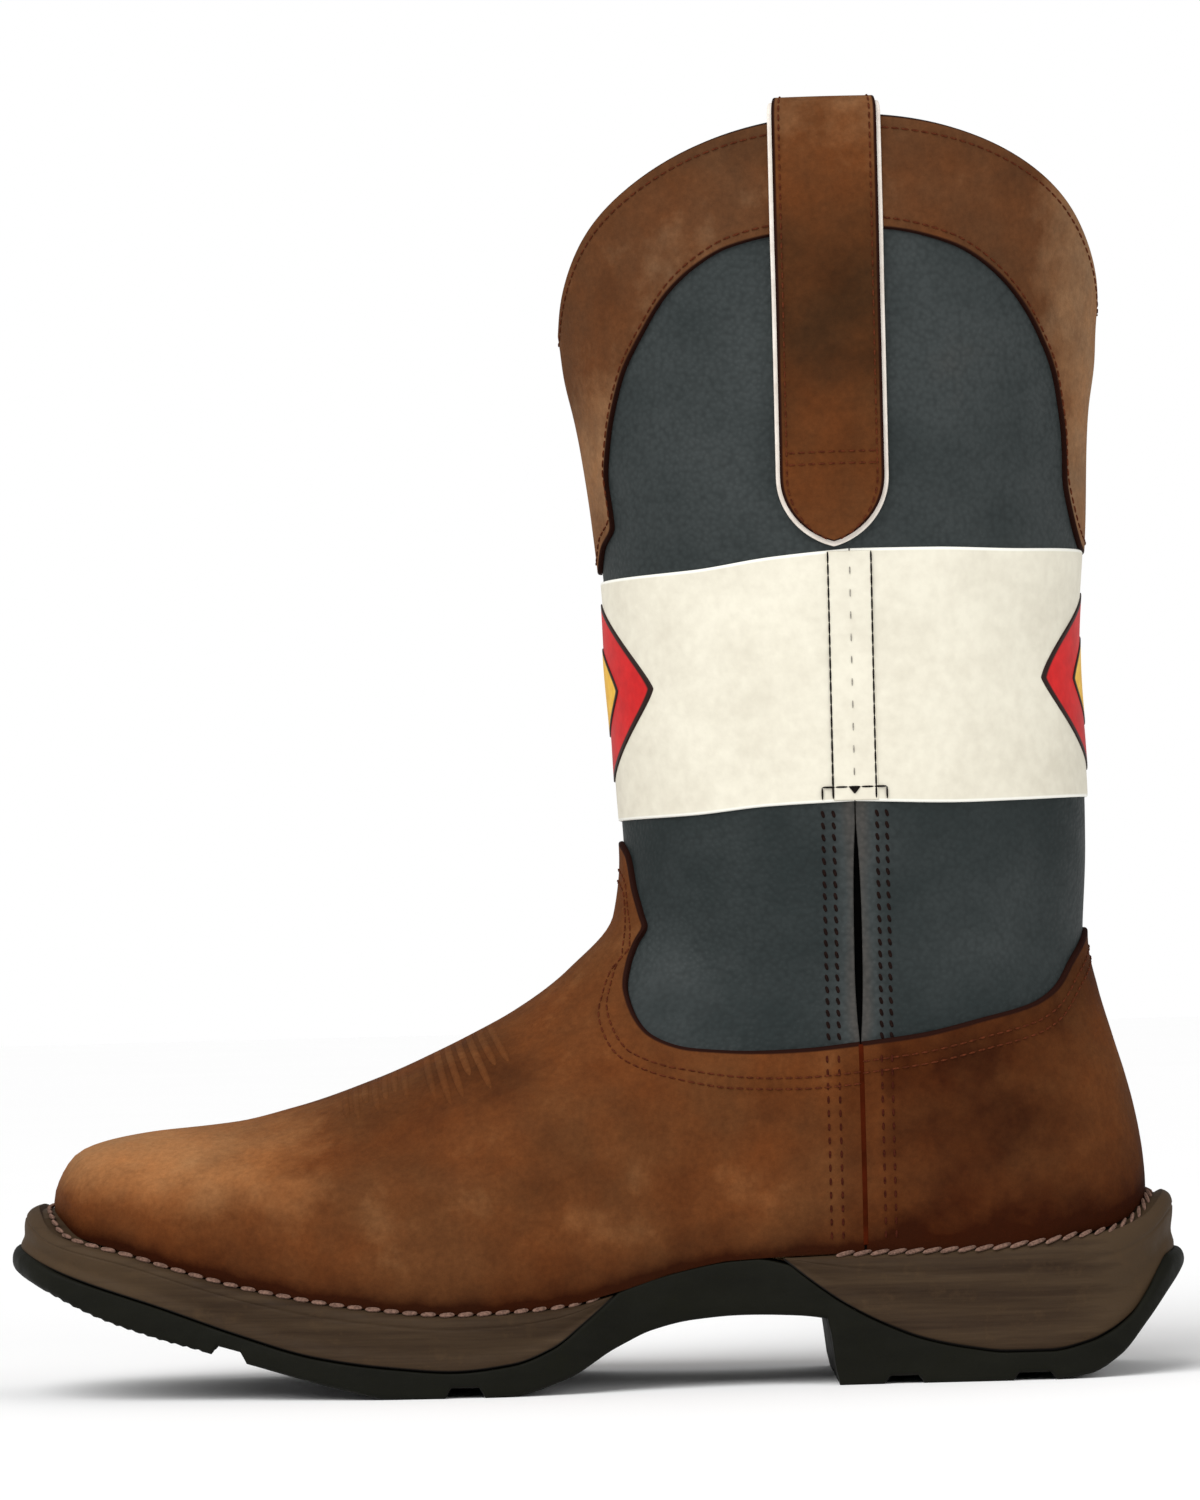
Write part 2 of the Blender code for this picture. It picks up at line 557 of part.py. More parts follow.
def build():
    brown = material("oiled_brown_leather", (0.16, 0.06, 0.018), 0.62)
    slate = material("slate_leather", (0.034, 0.045, 0.05), 0.5)
    taupe = material("taupe_rubber", (0.065, 0.048, 0.035), 0.7)
    black = material("black_rubber", (0.015, 0.016, 0.014), 0.6)
    tan = material("tan_insole", (0.35, 0.24, 0.15), 0.8)

    outsole(black)
    midsole("forefoot_midsole", plan_ends("midsole")[0] + TIP_START, FORE_MIDSOLE_END, taupe)
    midsole("heel_midsole", HEEL_MIDSOLE_START, plan_ends("midsole")[1] - TIP_START, taupe)
    welt("forefoot_welt", 0, FORE_WELT_END, taupe)
    welt("heel_welt", 1, HEEL_WELT_START, taupe)
    insole(tan)
    tube_wall("upper", upper_grid(-WALL), upper_grid(), slate)

    overlay("vamp", cutter_outline(VAMP_LINE[::-1], -FAR, BELOW), brown)
    overlay("counter", cutter_outline(COUNTER_LINE, FAR, BELOW), brown)
    overlay("front_collar", cutter_outline(FRONT_COLLAR_LINE, -FAR, ABOVE), brown)
    overlay("back_collar", cutter_outline(BACK_COLLAR_LINE, FAR, ABOVE), brown)

    pull_strap("outer_pull_strap", -1, brown)
    pull_strap("inner_pull_strap", 1, brown)


for old in list(bpy.data.objects):
    bpy.data.objects.remove(old)
BOOT = bpy.data.objects.new("boot", None)
bpy.context.scene.collection.objects.link(BOOT)
build()
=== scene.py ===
# %% [markdown]
# # A pull-on western boot for the left foot
# The packed solids already have the right size and place, so this lesson only gives them their looks. Every
# piece is a surface worked out with numpy from the same tables that shaped the solids, only much finer.
# Lengths are millimetres in the boot's own frame: the toe points along -X, the outer side of the foot is -Y
# and up is +Z. MM turns them into metres at the very end.

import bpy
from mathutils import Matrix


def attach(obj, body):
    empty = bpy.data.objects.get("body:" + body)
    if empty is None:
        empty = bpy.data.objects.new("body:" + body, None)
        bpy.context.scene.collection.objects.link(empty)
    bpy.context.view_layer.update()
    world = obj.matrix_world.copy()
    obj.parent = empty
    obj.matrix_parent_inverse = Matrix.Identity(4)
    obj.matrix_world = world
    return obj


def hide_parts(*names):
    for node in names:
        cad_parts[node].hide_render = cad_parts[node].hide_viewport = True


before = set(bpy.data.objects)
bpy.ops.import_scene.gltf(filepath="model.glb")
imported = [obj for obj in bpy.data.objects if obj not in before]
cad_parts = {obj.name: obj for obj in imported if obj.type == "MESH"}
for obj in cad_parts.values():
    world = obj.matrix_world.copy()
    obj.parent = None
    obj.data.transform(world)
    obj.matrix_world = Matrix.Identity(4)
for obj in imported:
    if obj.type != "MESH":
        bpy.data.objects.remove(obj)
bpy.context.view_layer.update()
print("packed nodes:", ", ".join(sorted(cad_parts)))

# %% Tools used throughout
import math

import bpy
import numpy as np
from mathutils import Matrix, Vector

MM = 0.001
print("a millimetre is", MM, "metres")

# %% [markdown]
# ## Curves through tables
# A bootmaker's last is known by its outlines. Each outline is a short table here, and a monotone cubic
# curve joins its rows without overshooting, which a plain spline would do at the toe and at the heel.

# %% Curves
def through(table, at, column=1):
    """Monotone cubic through a table's first column and another: each knot's slope is the harmonic mean of
    its neighbours' slopes, or 0 where they differ in sign."""
    knots = np.array([row[0] for row in table], float)
    values = np.array([row[column] for row in table], float)
    at = np.asarray(at, float)
    step = np.diff(knots)
    slope = np.diff(values) / step
    product = slope[:-1] * slope[1:]
    total = np.where(product > 0, slope[:-1] + slope[1:], 1.0)
    tangent = np.concatenate([slope[:1], np.where(product > 0, 2 * product / total, 0.0), slope[-1:]])
    cell = np.clip(np.searchsorted(knots, at) - 1, 0, len(step) - 1)
    u = np.clip((at - knots[cell]) / step[cell], 0.0, 1.0)
    rise = values[cell + 1] - values[cell]
    first, last = tangent[cell] * step[cell], tangent[cell + 1] * step[cell]
    return values[cell] + u * (first + u * (3 * rise - 2 * first - last + u * (first + last - 2 * rise)))


def smooth(low, high, at):
    """S-curve: 0 below low, 1 above high, 3u^2 - 2u^3 between them."""
    u = np.clip((np.asarray(at, float) - low) / (high - low), 0.0, 1.0)
    return u * u * (3 - 2 * u)


def rounding(depth, power):
    """Share of the full width at a depth of 0 to 1 into a rounded end: (1 - (1 - depth)^p)^(1/p)."""
    left = 1.0 - np.clip(depth, 0.0, 1.0)
    return (1.0 - left ** power) ** (1.0 / power)


def bell(distance, reach):
    """Gaussian hump: 1 at distance 0, about a third at the reach."""
    return np.exp(-(distance / reach) ** 2)


def full_turn(count):
    """Angles at even steps round a circle."""
    return np.linspace(0.0, 2 * math.pi, count, endpoint=False)


print("half way up an S-curve:", float(smooth(0, 2, 1)))

# %% [markdown]
# ## The upper's face
# The upper is a tube of rings. A ring leaves the front outline (toe, vamp, instep, shaft), swells to both
# sides and closes on the back outline. Two numbers name any place on it: v counts rows of the table, and
# the angle runs from the front (0) round by the outer side to the back (pi).

# %% Rings of the upper
COLLAR_RISE = 47.5
RINGS = (
    # front_x  front_z  back_x  back_z  rise         sag   front_round  back_round
    (-140.2,   46.0,    141.2,   43.8,  0.0,         1.00,  29.0,       36.0),
    (-140.6,   51.0,    141.2,   49.0,  0.0,         0.98,  30.0,       36.0),
    (-135.4,   61.4,    140.9,   55.5,  0.0,         0.96,  31.0,       36.5),
    (-116.0,   67.0,    140.2,   62.0,  0.0,         0.92,  32.0,       38.0),
    (-84.0,    69.9,    138.9,   69.0,  0.0,         0.80,  38.0,       40.0),
    (-57.0,    78.6,    137.0,   76.0,  0.0,         0.60,  46.0,       42.0),
    (-30.4,    89.6,    133.8,   86.0,  0.0,         0.30,  54.0,       45.5),
    (-4.9,    106.0,    130.4,   99.0,  0.0,         0.10,  59.0,       51.0),
    (8.0,     121.5,    128.2,  113.5,  0.0,         0.00,  60.2,       57.0),
    (10.2,    141.0,    129.3,  138.0,  0.0,         0.00,  59.6,       59.6),
    (8.6,     165.0,    129.2,  164.0,  0.0,         0.00,  60.3,       60.3),
    (7.4,     190.0,    127.8,  189.0,  0.0,         0.00,  60.2,       60.2),
    (6.3,     212.0,    129.8,  212.0,  1.0,         0.00,  61.8,       61.8),
    (2.4,     245.0,    131.6,  246.5,  16.0,        0.00,  64.6,       64.6),
    (-2.6,    275.0,    135.0,  279.5,  COLLAR_RISE, 0.00,  68.8,       68.8),
)
RING_COLUMNS = ("front_x", "front_z", "back_x", "back_z", "rise", "sag", "front_round", "back_round")
COLLAR = len(RINGS) - 1.0
TOE_X, TOE_Z, HEEL_X, HEEL_Z = RINGS[0][:4]
FOOT_PLAN = (
    # x       half_width  swing towards the inner side
    (-155.0,  37.0,        3.4),
    (-110.0,  40.0,        3.0),
    (-80.0,   45.2,        2.2),
    (-56.0,   48.6,        0.8),
    (-31.0,   47.8,       -1.6),
    (0.0,     40.5,       -3.6),
    (35.0,    34.0,       -2.9),
    (70.0,    33.6,       -1.0),
    (100.0,   34.4,        0.0),
    (155.0,   34.0,        0.0),
)
SHAFT_WIDTH = (
    # z      half_width
    (60.0, 38.5), (110.0, 39.5), (140.0, 40.5), (180.0, 42.5), (212.0, 44.8), (275.0, 48.0), (330.0, 49.6),
)
SOLE_LINE = (  # x, z where the upper meets the sole
    (-150.0, 50.0), (-140.0, 46.0), (-126.0, 40.4), (-112.0, 35.0), (-87.0, 28.0), (-62.0, 23.4),
    (-37.0, 21.0), (-12.0, 22.0), (4.0, 25.4), (20.0, 29.9), (35.0, 32.4), (60.0, 33.3),
    (95.0, 33.8), (115.0, 35.4), (130.0, 39.6), (140.0, 43.4), (150.0, 46.8),
)
FOOT_TO_SHAFT = (58.0, 120.0)
TOE_SQUARENESS, HEEL_SQUARENESS = 2.7, 2.1
TOE_TO_VAMP = (1.0, 4.0)
BULGE, BULGE_HEIGHT = 0.035, 14.0
SCALLOP_POWER, SCALLOP_ROUND = 0.75, 0.06
print(len(RINGS), "rings from the sole line to the collar")

# %% [markdown]
# ## From rings to points
# A boot could also be sculpted by hand or lofted from curves. A formula is easier to keep: it gives a point
# for any v and angle, so panels, stitches and straps are all laid on one face, each as fine as it needs.

# %% Side view of a ring
RING_STEP = 0.02  # small steps that give directions on the face
LEAN_STEP = 0.5  # wider step for the front outline's slope, so that no ring shows as a fold
LEAST_LEAN = 0.2


def ring_values(v):
    """The ring table's columns at v."""
    rows = [(i, *ring) for i, ring in enumerate(RINGS)]
    return {name: through(rows, v, i + 1) for i, name in enumerate(RING_COLUMNS)}


def sole_bow(x):
    """How far the sole line dips below the straight line between its ends."""
    return through(SOLE_LINE, x) - (TOE_Z + (HEEL_Z - TOE_Z) * (x - TOE_X) / (HEEL_X - TOE_X))


def side_point(ring, t):
    """x and z at share t from a ring's front to its back: a straight line, bent by its share of the bow."""
    x = ring["front_x"] + (ring["back_x"] - ring["front_x"]) * t
    line = ring["front_z"] + (ring["back_z"] - ring["front_z"]) * t
    ends = sole_bow(ring["front_x"]) * (1 - t) + sole_bow(ring["back_x"]) * t
    return x, line + ring["sag"] * (sole_bow(x) - ends)


def front_lean(v, ring):
    """Sine of the angle between a ring and the front outline."""
    near, far = ring_values(v - LEAN_STEP), ring_values(v + LEAN_STEP)
    along = np.arctan2(far["front_z"] - near["front_z"], far["front_x"] - near["front_x"])
    x, z = side_point(ring, RING_STEP)
    inward = np.arctan2(z - ring["front_z"], x - ring["front_x"])
    return np.clip(np.abs(np.sin(along - inward)), LEAST_LEAN, 1.0)


print("lean of the lowest ring: %.2f" % front_lean(0.0, ring_values(0.0)))

# %% Points of the upper
ELLIPSE = 2.0  # power of a plain round


def scallop(side):
    """Share of the collar's rise: a power of the sideways share, rounded in the dip and ending at 1."""
    def lift(s):
        """The rounded power of a sideways share."""
        return (s ** 2 + SCALLOP_ROUND ** 2) ** (SCALLOP_POWER / 2)
    return (lift(side) - lift(0.0)) / (lift(1.0) - lift(0.0))


def upper_point(v, angle):
    """Points of the upper's face: side view from the ring, width from the foot's plan below and the shaft's
    table above, rounded off towards the front and the back."""
    ring = ring_values(v)
    t = (1.0 - np.cos(angle)) / 2
    x, z = side_point(ring, t)
    z = z + ring["rise"] * scallop(np.sin(angle))
    length = ring["back_x"] - ring["front_x"]
    toe_power = ELLIPSE + (TOE_SQUARENESS - ELLIPSE) * (1.0 - smooth(*TOE_TO_VAMP, v))
    width = rounding(t * length * front_lean(v, ring) / ring["front_round"], toe_power)
    width = width * rounding((1 - t) * length / ring["back_round"], HEEL_SQUARENESS)
    on_shaft = smooth(*FOOT_TO_SHAFT, z)
    swell = 1.0 + BULGE * smooth(0.0, BULGE_HEIGHT, z - through(SOLE_LINE, x))
    foot = through(FOOT_PLAN, x) * swell
    width = width * (foot * (1 - on_shaft) + through(SHAFT_WIDTH, z) * on_shaft)
    middle = through(FOOT_PLAN, x, 2) * (1 - on_shaft)
    return np.stack([x, middle - np.sign(np.sin(angle)) * width, z], axis=-1)


def unit(vectors):
    """Vectors divided by their lengths."""
    return vectors / np.linalg.norm(vectors, axis=-1, keepdims=True)


print("top of the collar's side: %.1f mm" % upper_point(np.array([COLLAR]), np.array([math.pi / 2]))[0, 2])

# %% [markdown]
# ## Soft hollows of the leather
# Leather that has been lasted and tried on is never quite even. Long shallow waves and a few creases,
# placed where the ankle bends, lie in every layer alike, so they belong to the face that all layers
# follow.

# %% Waves and creases
WAVES = (
    # wavelength_x  wavelength_y  wavelength_z  phase  height
    (61.0,          140.0,         47.0,        0.4,   0.16),
    (-43.0,         90.0,          71.0,        2.1,   0.12),
    (150.0,         -60.0,         33.0,        4.0,   0.10),
)
CREASES = (
    # x     z      slant_deg  half_length  half_width  depth
    (26.0,  104.0,  62.0,     15.0,        4.5,        0.55),
    (38.0,   99.0,  48.0,     13.0,        4.0,        0.40),
    (31.0,  131.0,  -8.0,     17.0,        5.0,        0.35),
    (92.0,  136.0,  24.0,     15.0,        4.5,        0.35),
    (103.0, 112.0, -30.0,     16.0,        5.0,        0.40),
    (-12.0,  78.0, -58.0,     13.0,        4.0,        0.45),
    (-22.0,  69.0, -52.0,     14.0,        4.5,        0.35),
    (26.0,  246.0,   6.0,     18.0,        5.0,        0.30),
    (100.0, 232.0,  -7.0,     17.0,        5.0,        0.25),
)
TOE_TRIM, TOE_TRIM_X = 0.9, (-78.0, -94.0)  # leather skived thinner over the toe, and where that begins
FLARE, FLARE_Z, FLARE_REACH = 0.9, 263.0, 9.0  # soft roll of the collar at the front and the back
SHAFT_MIDDLE, FLARE_OUT = 66.0, (46.0, 62.0)  # middle of the shaft, and where the roll begins beside it
TURN_STEP = 0.004  # small turn that gives the direction round a ring


def relief(point):
    """Height added to the face: the collar's roll less the toe's trim, sine waves in space, less Gaussian
    troughs along the creases' lines."""
    x, y, z = np.moveaxis(point, -1, 0)
    height = FLARE * bell(z - FLARE_Z, FLARE_REACH) * smooth(*FLARE_OUT, np.abs(x - SHAFT_MIDDLE))
    height -= TOE_TRIM * smooth(*TOE_TRIM_X, x)
    for wave_x, wave_y, wave_z, phase, most in WAVES:
        height += most * np.sin(2 * math.pi * (x / wave_x + y / wave_y + z / wave_z) + phase)
    for middle_x, middle_z, slant, length, width, depth in CREASES:
        turn = math.radians(slant)
        along = (x - middle_x) * math.cos(turn) + (z - middle_z) * math.sin(turn)
        across = (z - middle_z) * math.cos(turn) - (x - middle_x) * math.sin(turn)
        height -= depth * bell(along, length) * bell(across, width)
    return height


def skin(v, angle, offset):
    """Points at a height over the upper's face, and the ways outwards: the cross product of the direction
    round the ring and the direction up."""
    v, angle = np.broadcast_arrays(np.asarray(v, float), np.asarray(angle, float))
    point = upper_point(v, angle)
    around = upper_point(v, angle + TURN_STEP) - upper_point(v, angle - TURN_STEP)
    higher, lower = np.minimum(v + RING_STEP, COLLAR), np.maximum(v - RING_STEP, 0.0)
    outward = unit(np.cross(around, upper_point(higher, angle) - upper_point(lower, angle)))
    return point + outward * (offset + relief(point))[..., None], outward


print("deepest crease: %.2f mm" % max(row[-1] for row in CREASES))

# %% [markdown]
# ## Meshes from grids
# A panel of leather is two grids of points, its face and its back, joined along their borders. Index arrays
# make all the faces at once. Each finished piece rides on the boot's one body and names the finish it
# takes.

# %% Faces of grids
def grid_quads(rows, columns, wrap=False):
    """Corner numbers of a grid's faces, counter-clockwise where columns run to the right and rows run up."""
    row, column = np.meshgrid(np.arange(rows - 1), np.arange(columns - (not wrap)), indexing="ij")
    here, right = row * columns + column, row * columns + (column + 1) % columns
    return np.stack([here, right, right + columns, here + columns], axis=-1).reshape(-1, 4)


def both(numbers):
    """The same numbers for a panel's face and its back."""
    return np.stack([numbers, numbers])


def shell_faces(rows, columns, wrap=False):
    """Faces of a closed panel: its face, its back and the strips along its borders."""
    count = rows * columns
    quads = grid_quads(rows, columns, wrap)
    number = np.arange(count).reshape(rows, columns)
    if wrap:
        rings = [np.append(number[0], number[0, 0]), np.append(number[-1], number[-1, 0])[::-1]]
    else:
        rings = [np.concatenate([number[0], number[1:, -1], number[-1, -2::-1], number[-2::-1, 0]])]
    strips = [np.stack([r[1:], r[:-1], r[:-1] + count, r[1:] + count], axis=-1) for r in rings]
    return np.concatenate([quads, quads[:, ::-1] + count, *strips])


print("faces of a 3 by 3 panel:", len(shell_faces(3, 3)))

# %% Pieces
SHARP = math.radians(48)  # edges that bend more than this stay sharp in the shading


def add_piece(name, points, faces, finishes, replaces=(), values=None):
    """A smooth-shaded mesh from points in millimetres. values are numbers per point for its materials."""
    mesh = bpy.data.meshes.new(name)
    corners = np.asarray(points, float).reshape(-1, 3) * MM
    mesh.from_pydata(corners.tolist(), [], np.asarray(faces).tolist())
    for finish in finishes if isinstance(finishes, (list, tuple)) else [finishes]:
        mesh.materials.append(finish)
    for key, numbers in (values or {}).items():
        layer = mesh.attributes.new(key, "FLOAT", "POINT")
        layer.data.foreach_set("value", np.asarray(numbers, np.float32).ravel())
    mesh.shade_smooth()
    mesh.set_sharp_from_angle(angle=SHARP)
    piece = bpy.data.objects.new(name, mesh)
    bpy.context.scene.collection.objects.link(piece)
    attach(piece, "root")
    if replaces:
        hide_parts(*replaces)
    return piece


print("edges look sharp from %.0f degrees on" % math.degrees(SHARP))

# %% [markdown]
# ## Materials
# Each finish is a small node tree. A handful of helpers make the nodes: noise and cells for grain, mixes
# for colour, and bump for what is too fine to model. Patterns read Object coordinates, which are the boot's
# own metres, and numbers per point, such as the distance from a cut edge.

# %% Node helpers
MIX_SHARE, MIX_FIRST, MIX_SECOND, MIX_RESULT = 0, 6, 7, 2  # a Mix node's sockets for colours


def opaque(colour):
    """A colour with its alpha of 1; another node's output stays as it is."""
    return colour if isinstance(colour, bpy.types.NodeSocket) else (*colour, 1.0)


class NodeTree:
    """A Principled material under construction. Each method adds a node and returns its output."""

    def __init__(self, name, **sockets):
        """A material with some of the shader's sockets set, and the place that its patterns read."""
        self.material = bpy.data.materials.new(name)
        self.material.use_nodes = True
        self.tree = self.material.node_tree
        self.shader = self.tree.nodes["Principled BSDF"]
        for socket, value in sockets.items():
            self.shader.inputs[socket.replace("_", " ")].default_value = value
        self.place = self.tree.nodes.new("ShaderNodeTexCoord").outputs["Object"]

    def node(self, kind, inputs, output, **settings):
        """A node of a kind, its inputs linked or set to numbers."""
        made = self.tree.nodes.new(kind)
        for key, value in settings.items():
            setattr(made, key, value)
        for key, value in inputs.items():
            if isinstance(value, bpy.types.NodeSocket):
                self.tree.links.new(value, made.inputs[key])
            else:
                made.inputs[key].default_value = value
        return made.outputs[output]

    def done(self, **links):
        """Links outputs to the shader's sockets and returns the material."""
        for socket, output in links.items():
            self.tree.links.new(output, self.shader.inputs[socket.replace("_", " ")])
        return self.material


print("node trees have", ", ".join(name for name in vars(NodeTree) if not name.startswith("_")))

# %% Pattern helpers
class Finish(NodeTree):
    """A node tree with the patterns that leather, rubber and thread are made of."""

    def stretched(self, scale):
        """Object coordinates stretched by a scale along each axis."""
        return self.node("ShaderNodeMapping", {"Vector": self.place, "Scale": scale}, "Vector")

    def noise(self, scale, detail=4.0, rough=0.55, place=None):
        """Cloudy noise from 0 to 1; scale counts its cells to the metre."""
        inputs = {"Vector": place or self.place, "Scale": scale, "Detail": detail, "Roughness": rough}
        return self.node("ShaderNodeTexNoise", inputs, "Fac")

    def cells(self, scale, feature="F1"):
        """Distance from the middles of rounded cells, for pebbled grain and pores."""
        inputs = {"Vector": self.place, "Scale": scale}
        return self.node("ShaderNodeTexVoronoi", inputs, "Distance", feature=feature)

    def value(self, name):
        """A number stored per point of the piece."""
        return self.node("ShaderNodeAttribute", {}, "Fac", attribute_name=name)

    def math(self, operation, first, second=0.0, third=0.0):
        """A sum or product of two numbers, or the first times the second plus the third."""
        return self.node("ShaderNodeMath", {0: first, 1: second, 2: third}, 0, operation=operation)

    def scaled(self, source, low, high, to_low=0.0, to_high=1.0):
        """A number carried from one range to another and held inside it."""
        inputs = {"Value": source, "From Min": low, "From Max": high, "To Min": to_low, "To Max": to_high}
        return self.node("ShaderNodeMapRange", inputs, "Result", clamp=True)

    def mix(self, share, first, second, blend="MIX"):
        """Two colours mixed by a share."""
        inputs = {MIX_SHARE: share, MIX_FIRST: opaque(first), MIX_SECOND: opaque(second)}
        return self.node("ShaderNodeMix", inputs, MIX_RESULT, data_type="RGBA", blend_type=blend)

    def bump(self, height, depth, strength=1.0, below=None):
        """Bump of a depth in millimetres, on top of another bump."""
        inputs = {"Height": height, "Distance": depth * MM, "Strength": strength}
        if below is not None:
            inputs["Normal"] = below
        return self.node("ShaderNodeBump", inputs, "Normal")


print("patterns:", ", ".join(name for name in vars(Finish) if not name.startswith("_")))

# %% [markdown]
# ## Oiled brown leather
# The foot, the collar and the straps are oiled leather with a short nap. Its colour comes and goes in
# clouds: tan where the skin is stretched over the toe, dark where oil has gathered, and nearly black along
# a cut and dyed edge. Clouds of noise give the mottling, and the numbers tone and edge_near place what
# isn't random, painted light and shade among it: light on the toe's top, sheen down the back of counter and
# collar, shade and a contact shadow along the welt.

# %% Colours and dyed edges
def srgb(red, green, blue):
    """Linear colour of a screen colour of 0 to 255, by the usual formula: a straight foot, then a power."""
    share = np.array([red, green, blue]) / 255
    return tuple(np.where(share <= 0.04045, share / 12.92, ((share + 0.055) / 1.055) ** 2.4).tolist())


def shaded(colour, by):
    """A colour made darker or lighter by a factor, no part of it over 1."""
    return tuple(min(1.0, by * part) for part in colour)


EDGE_REACH = 10.0  # edge_near counts down from this at a cut edge to 0 this far from it
EDGE_DYE = 1.3  # width of the dyed cut edge
DYE_FADE = (-0.25, 0.1)  # the dye comes in between these distances about that width
DYE = srgb(34, 15, 10)


def edge_dye_and_highlight(finish, colour, width=EDGE_DYE, dye=DYE):
    """A colour that turns to dye within a width of the cut edge; on the cream band the dye is a painted
    highlight.
    """
    low, high = (EDGE_REACH - width + fade for fade in DYE_FADE)
    return finish.mix(finish.scaled(finish.value("edge_near"), low, high), colour, dye)


print("cut edges are dyed %.1f mm wide" % EDGE_DYE)

# %% Brown leather
CLOUD, PATCH, FLECK, TINT, NAP, PORE = 20.0, 85.0, 620.0, 31.0, 1900.0, 520.0  # cells to the metre
CLOUD_SHARE, PATCH_SHARE, TONE_SHARE = 0.40, 0.28, 0.24  # what each adds to the level of brown,
LEVEL_BASE = 0.155  # which starts here
TO_MIDDLE, TO_LIGHT = (0.2, 0.5), (0.5, 0.8)  # levels that run from dark to middle to light
WARM, COOL = (1.08, 0.95, 0.8), (0.95, 1.02, 1.06)  # tints of the brown clouds
DEEPER = 0.45  # shade of flecks and pits against the dark colour


def oiled_leather(name, dark, middle, light):
    """Brown clouds between three colours, warmer or cooler in others, with a fine nap and pores."""
    f = Finish(name, Roughness=0.8, Specular_IOR_Level=0.035)
    cloud, patch, fleck = f.noise(CLOUD, 5.0, 0.6), f.noise(PATCH, 5.0, 0.62), f.noise(FLECK, 4.0, 0.7)
    level = f.math("ADD", f.math("MULTIPLY", cloud, CLOUD_SHARE), f.math("MULTIPLY", patch, PATCH_SHARE))
    level = f.math("ADD", level, f.math("MULTIPLY_ADD", f.value("tone"), TONE_SHARE, LEVEL_BASE))
    colour = f.mix(f.scaled(level, *TO_MIDDLE), dark, middle)
    colour = f.mix(f.scaled(level, *TO_LIGHT), colour, light)
    colour = f.mix(f.scaled(fleck, 0.3, 0.72, 0.0, 0.3), colour, shaded(dark, DEEPER))
    tint = f.mix(f.scaled(f.noise(TINT, 4.0, 0.6), 0.36, 0.64), WARM, COOL)
    colour = f.mix(1.0, colour, tint, "MULTIPLY")
    nap = f.bump(f.noise(NAP, 3.0, 0.6), 0.11)
    pores = f.bump(f.cells(PORE), 0.05, 0.6, nap)
    return f.done(Base_Color=edge_dye_and_highlight(f, colour), Normal=f.bump(patch, 0.5, 0.5, pores),
                  Roughness=f.scaled(patch, 0.3, 0.7, 0.68, 0.88))


BROWN = oiled_leather("oiled_brown_leather", srgb(46, 18, 5), srgb(100, 59, 31), srgb(160, 111, 71))
SHAFT_BROWN = oiled_leather("oiled_shaft_leather", srgb(47, 30, 18), srgb(95, 61, 38), srgb(154, 120, 90))
STRAP_BROWN = oiled_leather("oiled_strap_leather", srgb(47, 29, 15), srgb(99, 59, 32), srgb(158, 118, 84))
print("made", BROWN.name, SHAFT_BROWN.name, STRAP_BROWN.name)

# %% [markdown]
# ## Slate, cream and lining leather
# The shaft's panels are pebbled slate leather round a smooth cream band. Pebbles are cells a little over a
# millimetre wide; rounding their distance field and breaking it with noise keeps them from looking like
# tiles. A scanned picture of leather would do too, but a formula has no seams and no fixed fineness.

# %% Slate leather
PEBBLE, SLATE_CLOUD, SLATE_WRINKLE, SLATE_SHEEN = 860.0, 30.0, 260.0, 95.0  # cells to the metre
SLATE_DYE = 0.4  # width of the dyed edge of slate panels


def pebbled_leather(name, dark, light, folded):
    """Two close colours in soft clouds, a third where tone is high, and pebbles over fine wrinkles."""
    f = Finish(name, Roughness=0.6, Specular_IOR_Level=0.17)
    cloud = f.math("MULTIPLY_ADD", f.value("tone"), 0.3, f.noise(SLATE_CLOUD, 4.0, 0.55))
    pebble = f.cells(PEBBLE, "SMOOTH_F1")
    colour = f.mix(f.scaled(cloud, 0.3, 0.7), dark, light)
    colour = f.mix(f.scaled(cloud, 0.75, 1.05), colour, folded)
    colour = f.mix(f.scaled(pebble, 0.25, 0.75, 0.0, 0.4), colour, shaded(dark, DEEPER))
    wrinkles = f.bump(f.noise(SLATE_WRINKLE, 4.0, 0.6), 0.07, 0.6)
    pebbles = f.bump(f.scaled(pebble, 0.1, 0.8, 1.0, 0.0), 0.16, 0.9, wrinkles)
    return f.done(Base_Color=edge_dye_and_highlight(f, colour, SLATE_DYE), Normal=pebbles,
                  Roughness=f.scaled(f.noise(SLATE_SHEEN), 0.3, 0.7, 0.54, 0.68))


SLATE = pebbled_leather("pebbled_slate_leather", srgb(31, 38, 38), srgb(52, 57, 57), srgb(65, 63, 60))
print("made", SLATE.name, "with", PEBBLE, "pebbles to the metre")

# %% Smooth leathers
BLUR, SPECK, WRINKLE, GRAIN = 42.0, 310.0, 130.0, 620.0  # cells to the metre
BLUR_SHARE, SPECK_SHARE = 0.6, 0.4  # what each adds to the level between its two colours


def plain_leather(name, dark, light, roughness, dye_width=0.0, dye=DYE, gloss=0.2):
    """Smooth leather: two close colours in blurs and specks, and a low fine grain."""
    f = Finish(name, Roughness=roughness, Specular_IOR_Level=gloss)
    blur, speck = f.noise(BLUR, 5.0, 0.65), f.noise(SPECK)
    level = f.math("ADD", f.math("MULTIPLY", blur, BLUR_SHARE), f.math("MULTIPLY", speck, SPECK_SHARE))
    colour = f.mix(f.scaled(level, 0.36, 0.62), dark, light)
    if dye_width:
        colour = edge_dye_and_highlight(f, colour, dye_width, dye)
    wrinkles = f.bump(f.noise(WRINKLE, 5.0, 0.6), 0.2, 0.5)
    return f.done(Base_Color=colour, Normal=f.bump(f.cells(GRAIN), 0.07, 0.5, wrinkles))
